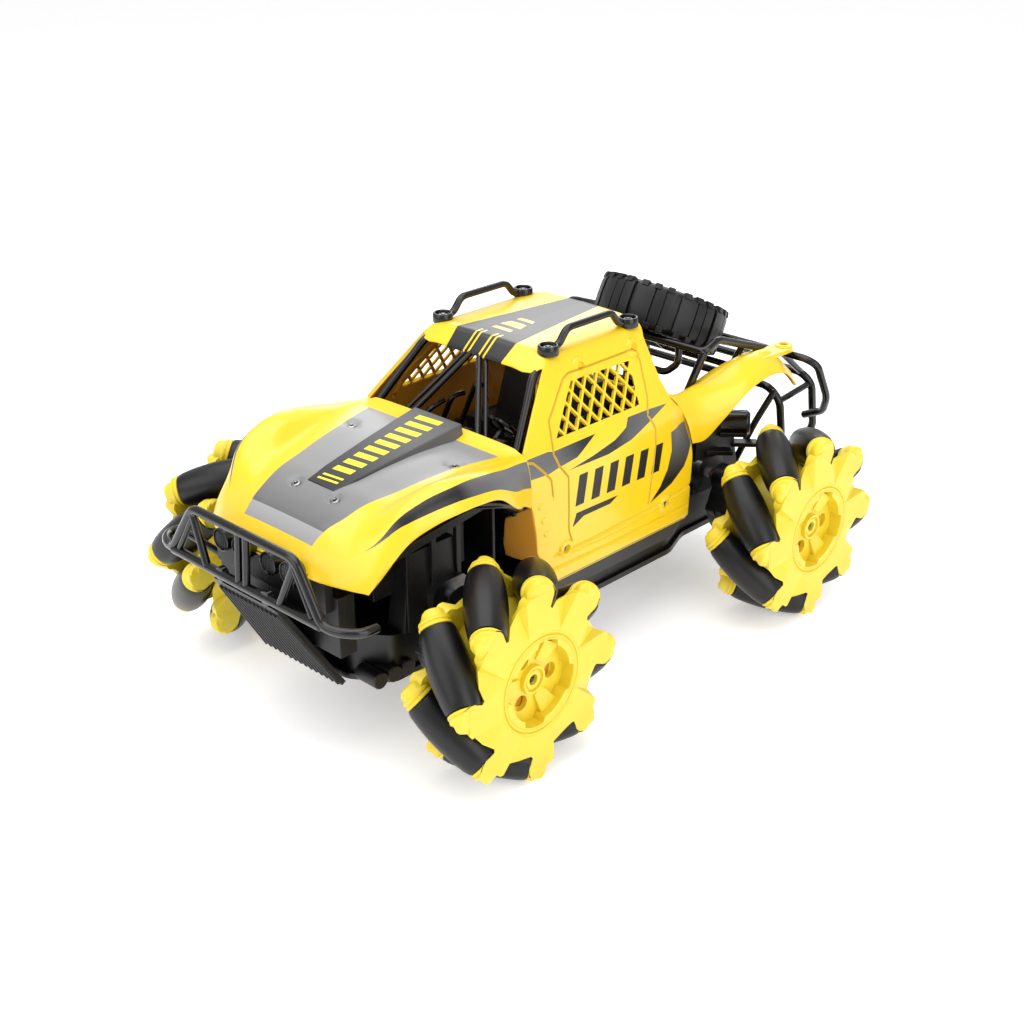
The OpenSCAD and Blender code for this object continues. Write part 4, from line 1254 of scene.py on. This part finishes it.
def rear_rack():
    """Tube rack under the spare tyre with the rear guard hoops."""
    shape = Shape()
    rail = 43
    for side in SIDES:
        side_tubes(shape, side,
                   (1.8, 3, (0, 70, 116.6), (rail, 70, 116.6), (rail, 79, 120), (rail, 98, 113), (rail, 123.5, 104)),
                   (1.8, 4, (rail, 70, 116.6), (37.5, 66.5, 98), (35, 60, 84)),
                   (1.8, 3, (0, 123.5, 103.6), (60, 124, 103.6), (65, 126, 101), (66, 134, 84), (62, 138, 75),
                    (50, 141, 69)),
                   (1.9, 4, (0, 125, 85), (40, 125, 85), (46, 126, 79), (47, 128, 60), (40, 124, 48)),
                   (1.9, 4, (0, 142, 89), (46, 142, 89), (51, 144, 84), (50, 149.4, 60), (40, 146, 47),
                    (30, 124, 38)),
                   (1.5, 3, (46, 126, 79), (50, 144, 84)),
                   (1.5, 3, (46, 124, 103.6), (46, 142, 89)),
                   (1.5, 3, (20, 123.5, 103.6), (20, 142, 89)),
                   (1.6, 3, (0, 70, 102), (22, 70, 102), (29, 70, 108), (29, 70, 116.6)),
                   (1.5, 3, (rail, 98, 112.6), (38, 97, 102), (0, 97, 102)))
    tube(shape, [(0, 85.2, 111), (0, 97, 102)], 1.5, BLACK)
    lathe(shape, [(0.01, -12.9), (12, -12.9), (12, -10.8), (0.01, -10.8)], SPARE_CENTER, SPARE_AXIS, BLACK, 36)
    shape.make("tube_rack", "chassis", ["rear_frame"], bevel=0.2)


def roof_rails():
    """Raised roof bars ending in screw cups."""
    shape = Shape()
    for side in SIDES:
        x = side * 30.4
        for y in (-16, 32.9):
            cup = [(1.3, -2.4), (4.3, -2.4), (4.4, -1.8), (4.3, 1.3), (4.0, 1.7), (3.5, 1.75), (3.2, 1.4),
                   (3.1, -0.2), (1.3, -0.2)]
            lathe(shape, cup, (x, y, 137), (0, 0, 1), BLACK, 40)
        rail = [(-12.6, 136.6), (-9.6, 137.6), (-5, 143), (22, 143), (26.4, 137.6), (29.4, 136.6)]
        tube(shape, [(x, y, z) for y, z in rail], 1.75, BLACK, 2.6, flat=0.85)
    shape.make("roof_bars", "chassis", ["roof_rails"], bevel=0.15)


# ---- interior and chassis ----

def interior():
    """Black tub, cage, seats, wheel and bits seen through the windows."""
    shape = Shape()
    box(shape, (-44, -50, 79), (44, 40, 80.6), DEEP)
    for side in SIDES:
        side_tubes(shape, side,
                   (1.7, 4, (40.6, -44.6, 104.5), (31.6, -25.6, 129.2), (30.4, -18, 131.6), (30.4, 30, 131.6),
                    (36.5, 40, 106), (38, 42, 82)),
                   (1.25, 3, (2.5, -27, 130.2), (19, -44.8, 105.2)),
                   (0.9, 3, (5.8, -26.4, 130), (23.2, -44.4, 105.2)))
        seat = [(8.5, -4, 80.5), (30, -4, 80.5), (30, 16, 80.5), (8.5, 16, 80.5),
                (9.5, -4, 89), (29, -4, 89), (29, 16, 87), (9.5, 16, 87)]
        side_block(shape, side, seat, DEEP)
        taper(shape, side, (10, 28.5, 13, 18, 86), (12, 26.5, 19, 23, 112), DEEP)
        for i in range(3):
            side_tubes(shape, side, (1.2, 3, (36, -30 + i * 14, 82), (33 - i, -24 + i * 14, 96 + i * 3),
                                     (31, -16 + i * 12, 99)))
    for x, y, z in ((30.4, -20, 131), (30.4, 30, 131), (36, 38, 108)):
        tube(shape, [(-x, y, z), (x, y, z)], 1.7, BLACK)
    dash = [(-40, -45, 88), (40, -45, 88), (38, -36, 88), (-38, -36, 88), (-39, -44.6, 103.6), (39, -44.6, 103.6),
            (36, -38, 101), (-36, -38, 101)]
    block(shape, dash, DEEP)
    for x, r in ((-25, 3.2), (-16, 2.4), (-6, 3.0), (8, 2.4), (27, 3.2)):
        dial = [(0.01, 0.6), (r - 0.6, 0.6), (r, 1.2), (r + 0.3, 0.4), (r + 0.3, -1)]
        lathe(shape, dial, (x, -39.5, 102.6), (0, 0.5, 1), SCREW_BLACK, 24)
    wheel_rim = [(6.2, -0.8), (7.4, -0.8), (7.8, 0), (7.4, 0.8), (6.2, 0.8), (5.8, 0), (6.2, -0.8)]
    wheel_spot = (19, -30, 104)
    lathe(shape, wheel_rim, wheel_spot, (0, 0.75, 0.6), BLACK, 32)
    for a in (0.4, 2.5, 4.7):
        spoke = (19 + 6.5 * math.cos(a), -30 + 4.0 * math.sin(a), 104 - 5 * math.sin(a))
        tube(shape, [wheel_spot, spoke], 0.8, BLACK)
    tube(shape, [(19, -31, 103.4), (19, -38, 98)], 1.3, BLACK)
    for i in range(9):
        x = -32 + i * 8
        bar(shape, (x, -34, 84 + (i % 3) * 3), (x + 5, -26 + (i % 2) * 5, 86 + (i % 4) * 3), 2.2, 1.6,
            SCREW_BLACK if i % 2 else BLACK)
    shape.make("cockpit", "chassis", ["roll_cage"], bevel=0.25)


def chassis():
    """Ribbed tub with side skirts, belly scallops, wheel arch liners and rear deck."""
    shape = Shape()
    plan = [(22, -121), (38, -110), (38, -64), (44.5, -42), (44.5, 50), (38, 66), (38, 106), (30, 122)]
    loop = plan + [(-x, y) for x, y in reversed(plan)]

    def level(x, y, h):
        return (x, y, h)

    door = [(-21.5, -38.5), (21.5, -38.5), (21.5, 34.5), (-21.5, 34.5)]
    slot = [(-4.2, 52), (4.2, 52), (4.2, 63), (-4.2, 63)]
    hatch = [(-19, -33), (19, -33), (19, 31), (-19, 31)]
    stand = [circle2((0, y), 1.2, 20) for y in (-116, 116)]
    plate(shape, rounded2(loop, 3), [door, slot] + stand, level, 27, 29.4, SATIN)
    plate(shape, rounded2([(x * 0.96, y * 0.985) for x, y in loop], 3), [hatch] + stand, level, 29.4, 46.4, SATIN)
    plate(shape, [(x * 1.02, y * 1.01) for x, y in door], [hatch], level, 29.2, 29.5, DEEP)
    for side in SIDES:
        taper(shape, side, (42, 46.4, -30, 47, 36.5), (42, 49, -34, 54, 46.4), SATIN)
        for y in (-117, -110, -103):
            knob = [(0.01, -6), (3.2, -6), (3.5, -5.7), (3.5, 5.7), (3.2, 6), (0.01, 6)]
            lathe(shape, knob, (side * 32.5, y, 31.0), (side, 0, 0), SATIN, 24)
        taper(shape, side, (28, 38, -104, -70, 46), (30, 37, -100, -76, 78), DEEP)
        for y in (-101, -88, -75):
            bar(shape, (side * 37.4, y, 46), (side * 37.6, y, 84), 2.0, 2.4, DEEP)
        liner = [(20, -112, 80), (44, -112, 82), (50, -56, 94), (20, -56, 96), (20, -112, 84), (44, -110, 86),
                 (50, -58, 97), (20, -56, 99)]
        side_block(shape, side, liner, DEEP)
        side_tubes(shape, side, (2.2, 8, (44, -86, 96), (52, -62, 92), (49, -52, 86)))
        taper(shape, side, (26, 39, 72, 106, 46), (28, 37, 76, 102, 74), DEEP)
        for y, z in ((88, 64), (98, 70), (108, 62)):
            bar(shape, (side * 36, y - 5, z), (side * 44, y + 5, z - 1), 6.0, 2.0, SATIN)
        damper = [(0.01, -8), (5.4, -8), (6.2, -7), (6.2, 5), (5.0, 6.4), (0.01, 6.4)]
        lathe(shape, damper, (side * 39, 102, 73), (side * 0.8, 0.6, 0), BLACK, 32)
        side_tubes(shape, side, (1.6, 4, (34, 108, 48), (40, 116, 70), (44, 124, 84)))
    for x, y0, z0, y1, z1, material in (
            (36, 46, 46, 70, 62, SATIN), (30, 70, 60, 112, 66, SATIN), (12, 108, 44.5, 122.5, 60.2, SATIN),
            (12, -122.5, 44.5, -109.5, 60.2, SATIN), (30, -112, 60, -64, 80, DEEP), (39, -57, 46, -55.5, 98, DEEP),
            (36, -134, 47, -126, 72, DEEP)):
        box(shape, (-x, y0, z0), (x, y1, z1), material)
    for i in range(5):
        y = 74 + i * 8
        bar(shape, (-32, y, 67), (32, y, 67), 2.0, 2.2, SATIN)
    for y in (-32.5, 32):
        for x in (-23.2, 23.2):
            lathe(shape, [(0.01, 0), (1.4, 0), (1.4, 1)], (x, y, 46), (0, 0, 1), SATIN, 16)
    shape.make("tub", "chassis", ["chassis_tub"], bevel=0.35)


def bulkheads():
    """Inner flanges behind the front wheels and panels that close the cab."""
    shape = Shape()
    for side in SIDES:
        outer = [(50, -46.2, 84), (50, -43.6, 70), (50, -42.8, 62.6)]
        inner = [(39.5, -50.6, 77), (38.5, -50.6, 66), (38.6, -49.6, 60.4)]
        foot = [(50, -38.8, 55.2), (40, -45.2, 57.6)]
        faces = [[0, 1, 4, 3], [1, 2, 5, 4], [2, 6, 7, 5]]
        if side > 0:
            faces = [f[::-1] for f in faces]
        # Arch flanges in the darker yellow: painted shade inside the wheel arch.
        shape.add([sided(side, *p) for p in outer + inner + foot], faces, SHADED_INNER)
        back = [(44, 56.4, 84), (44, 56, 47), (20, 56, 47), (20, 56.4, 84)]
        shape.add([sided(side, *p) for p in back], [[0, 1, 2, 3]], DEEP)
    shape.make("body_bulkheads", "chassis", ["body_shell"], solid=1.2, bevel=0.4)


def rear_shelf():
    """Deck between the cab and the rear wings."""
    shape = Shape()
    shape.add([(-42, 44, 103), (42, 44, 103), (45, 56, 92), (-45, 56, 92)], [[0, 1, 2, 3]], YELLOW)
    shape.make("rear_deck", "chassis", ["body_shell"], solid=1.4)


def gear_cases():
    """Hexagonal gear housings with raised ribs, bearing rings and case screws."""
    shape = Shape()
    outer_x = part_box("gear_cases")[1].x / MM
    for side, end in CORNERS.values():
        put = wheel_place(side, end)
        out = (side, 0, 0)
        for x, w, r in ((46, 4.6, 17.2), (51.0, 3.4, 16.2), (54.6, 4.2, 17.4)):
            loop = [polar(r, 60 * i) for i in range(6)]
            plate(shape, rounded2(loop, 1.2, 3), [], lambda a, b, h, x=x: put(x + h, a, b), 0, w, SATIN)
        lathe(shape, [(15.6, 46), (15.6, 58.6)], put(0, 0, 0), out, SATIN, 48)
        ring = [(2.1, 59), (6.0, 59), (6.2, outer_x - 1), (5.4, outer_x), (2.1, outer_x)]
        lathe(shape, ring, put(0, 0, 0), out, SATIN, 36)
        cap = [(0.01, 46), (6.3, 46), (6.4, 46.4), (6.4, 58), (5.8, 59), (0.01, 59)]
        lathe(shape, cap, put(0, *polar(15, 60 if end < 0 else 120)), out, SATIN, 32)
        for i in range(6):
            screw = [(0.01, 60.0), (1.6, 60.0), (1.9, 59.6), (1.9, 56)]
            lathe(shape, screw, put(0, *polar(14, 60 * i)), out, SCREW_BLACK, 18)
            rib = 60 * i + 30
            bar(shape, put(57.8, *polar(7, rib)), put(57.8, *polar(13.4, rib)), 1.4, 2.4, SATIN)
    shape.make("gear_housings", "chassis", ["gear_cases"], bevel=0.25)


# ---- pieces that keep their CAD shape ----

def finish_cad_nodes():
    """Materials for the parts that are shown with their own CAD shape."""
    finishes = {"drive_motors": CAN, "battery_pack": BLUE, "circuit_board": BOARD,
                "battery_door": SATIN, "power_switch": RED}
    for name in CORNERS:
        finishes["axle_" + name] = STEEL
        finishes["motor_pinion_" + name] = BRASS
    for name, material in finishes.items():
        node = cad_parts[name]
        node.data.materials.clear()
        node.data.materials.append(material)


# ---- stage ----

CAMERA_PLACE = (0.42807, -0.44342, 0.34077)
CAMERA_ANGLES = (44.23, 25.27, 0.33)
CAMERA_LENS = 54.37
WORLD_STRENGTH = 0.62
# name, place, target, size, power
LAMPS = [("top_softbox", (-0.1, -0.1, 0.95), (0, 0, 0.05), (1.0, 1.0), 7.0),
         ("side_softbox", (0.95, -0.1, 0.55), (0, 0, 0.06), (0.7, 0.9), 4.0),
         ("front_softbox", (-0.2, -1.0, 0.6), (0, 0, 0.06), (0.9, 0.7), 3.2),
         ("rim_strip", (-0.6, 0.8, 0.6), (0, 0, 0.08), (0.8, 0.3), 3.0)]

FLOOR = plastic("floor_white", (246, 246, 247), (248, 248, 249), 0.7, 0.02)
FLOOR.node_tree.nodes["Principled BSDF"].inputs["Emission Color"].default_value = (1, 1, 1, 1)
FLOOR.node_tree.nodes["Principled BSDF"].inputs["Emission Strength"].default_value = 0.38


def stage():
    """Pale floor, soft lamps and the camera."""
    mesh = bpy.data.meshes.new("floor")
    reach, count = 9.0, 12
    line = np.linspace(-reach, reach, count + 1)
    verts = [(x, y, 0.0) for y in line for x in line]
    row = count + 1
    faces = [[j * row + i, j * row + i + 1, (j + 1) * row + i + 1, (j + 1) * row + i]
             for j in range(count) for i in range(count)]
    mesh.from_pydata(verts, [], faces)
    floor = bpy.data.objects.new("floor", mesh)
    mesh.materials.append(FLOOR)
    mesh.shade_smooth()
    bpy.context.scene.collection.objects.link(floor)
    data = bpy.data.cameras.new("camera")
    data.lens = CAMERA_LENS
    data.sensor_width = 36.0
    camera = bpy.data.objects.new("camera", data)
    camera.location = CAMERA_PLACE
    azimuth, elevation, roll = (math.radians(a) for a in CAMERA_ANGLES)
    camera.rotation_euler = (math.pi / 2 - elevation, roll, azimuth)
    bpy.context.scene.collection.objects.link(camera)
    bpy.context.scene.camera = camera

    for name, place, target, size, power in LAMPS:
        light = bpy.data.lights.new(name, "AREA")
        light.shape = "RECTANGLE"
        light.size, light.size_y = size
        light.energy = power
        lamp = bpy.data.objects.new(name, light)
        lamp.location = place
        lamp.rotation_euler = (Vector(target) - Vector(place)).to_track_quat("-Z", "Y").to_euler()
        bpy.context.scene.collection.objects.link(lamp)
    world = bpy.data.worlds.new("studio")
    bpy.context.scene.world = world
    world.use_nodes = True
    background = world.node_tree.nodes["Background"]
    background.inputs["Color"].default_value = (1, 1, 1, 1)
    background.inputs["Strength"].default_value = WORLD_STRENGTH
    bpy.context.scene.view_settings.view_transform = "Standard"


bonnet()
cab()
cowl_and_scoop()
screw_heads()
rear_wing()
bulkheads()
rear_shelf()
for corner, (side, end) in CORNERS.items():
    hub(corner, side, end)
    for number in range(1, ROLLERS + 1):
        roller(corner, number, side, end)
spare_tyre()
front_bumper()
headlamps()
rear_rack()
roof_rails()
interior()
chassis()
gear_cases()
finish_cad_nodes()
stage()
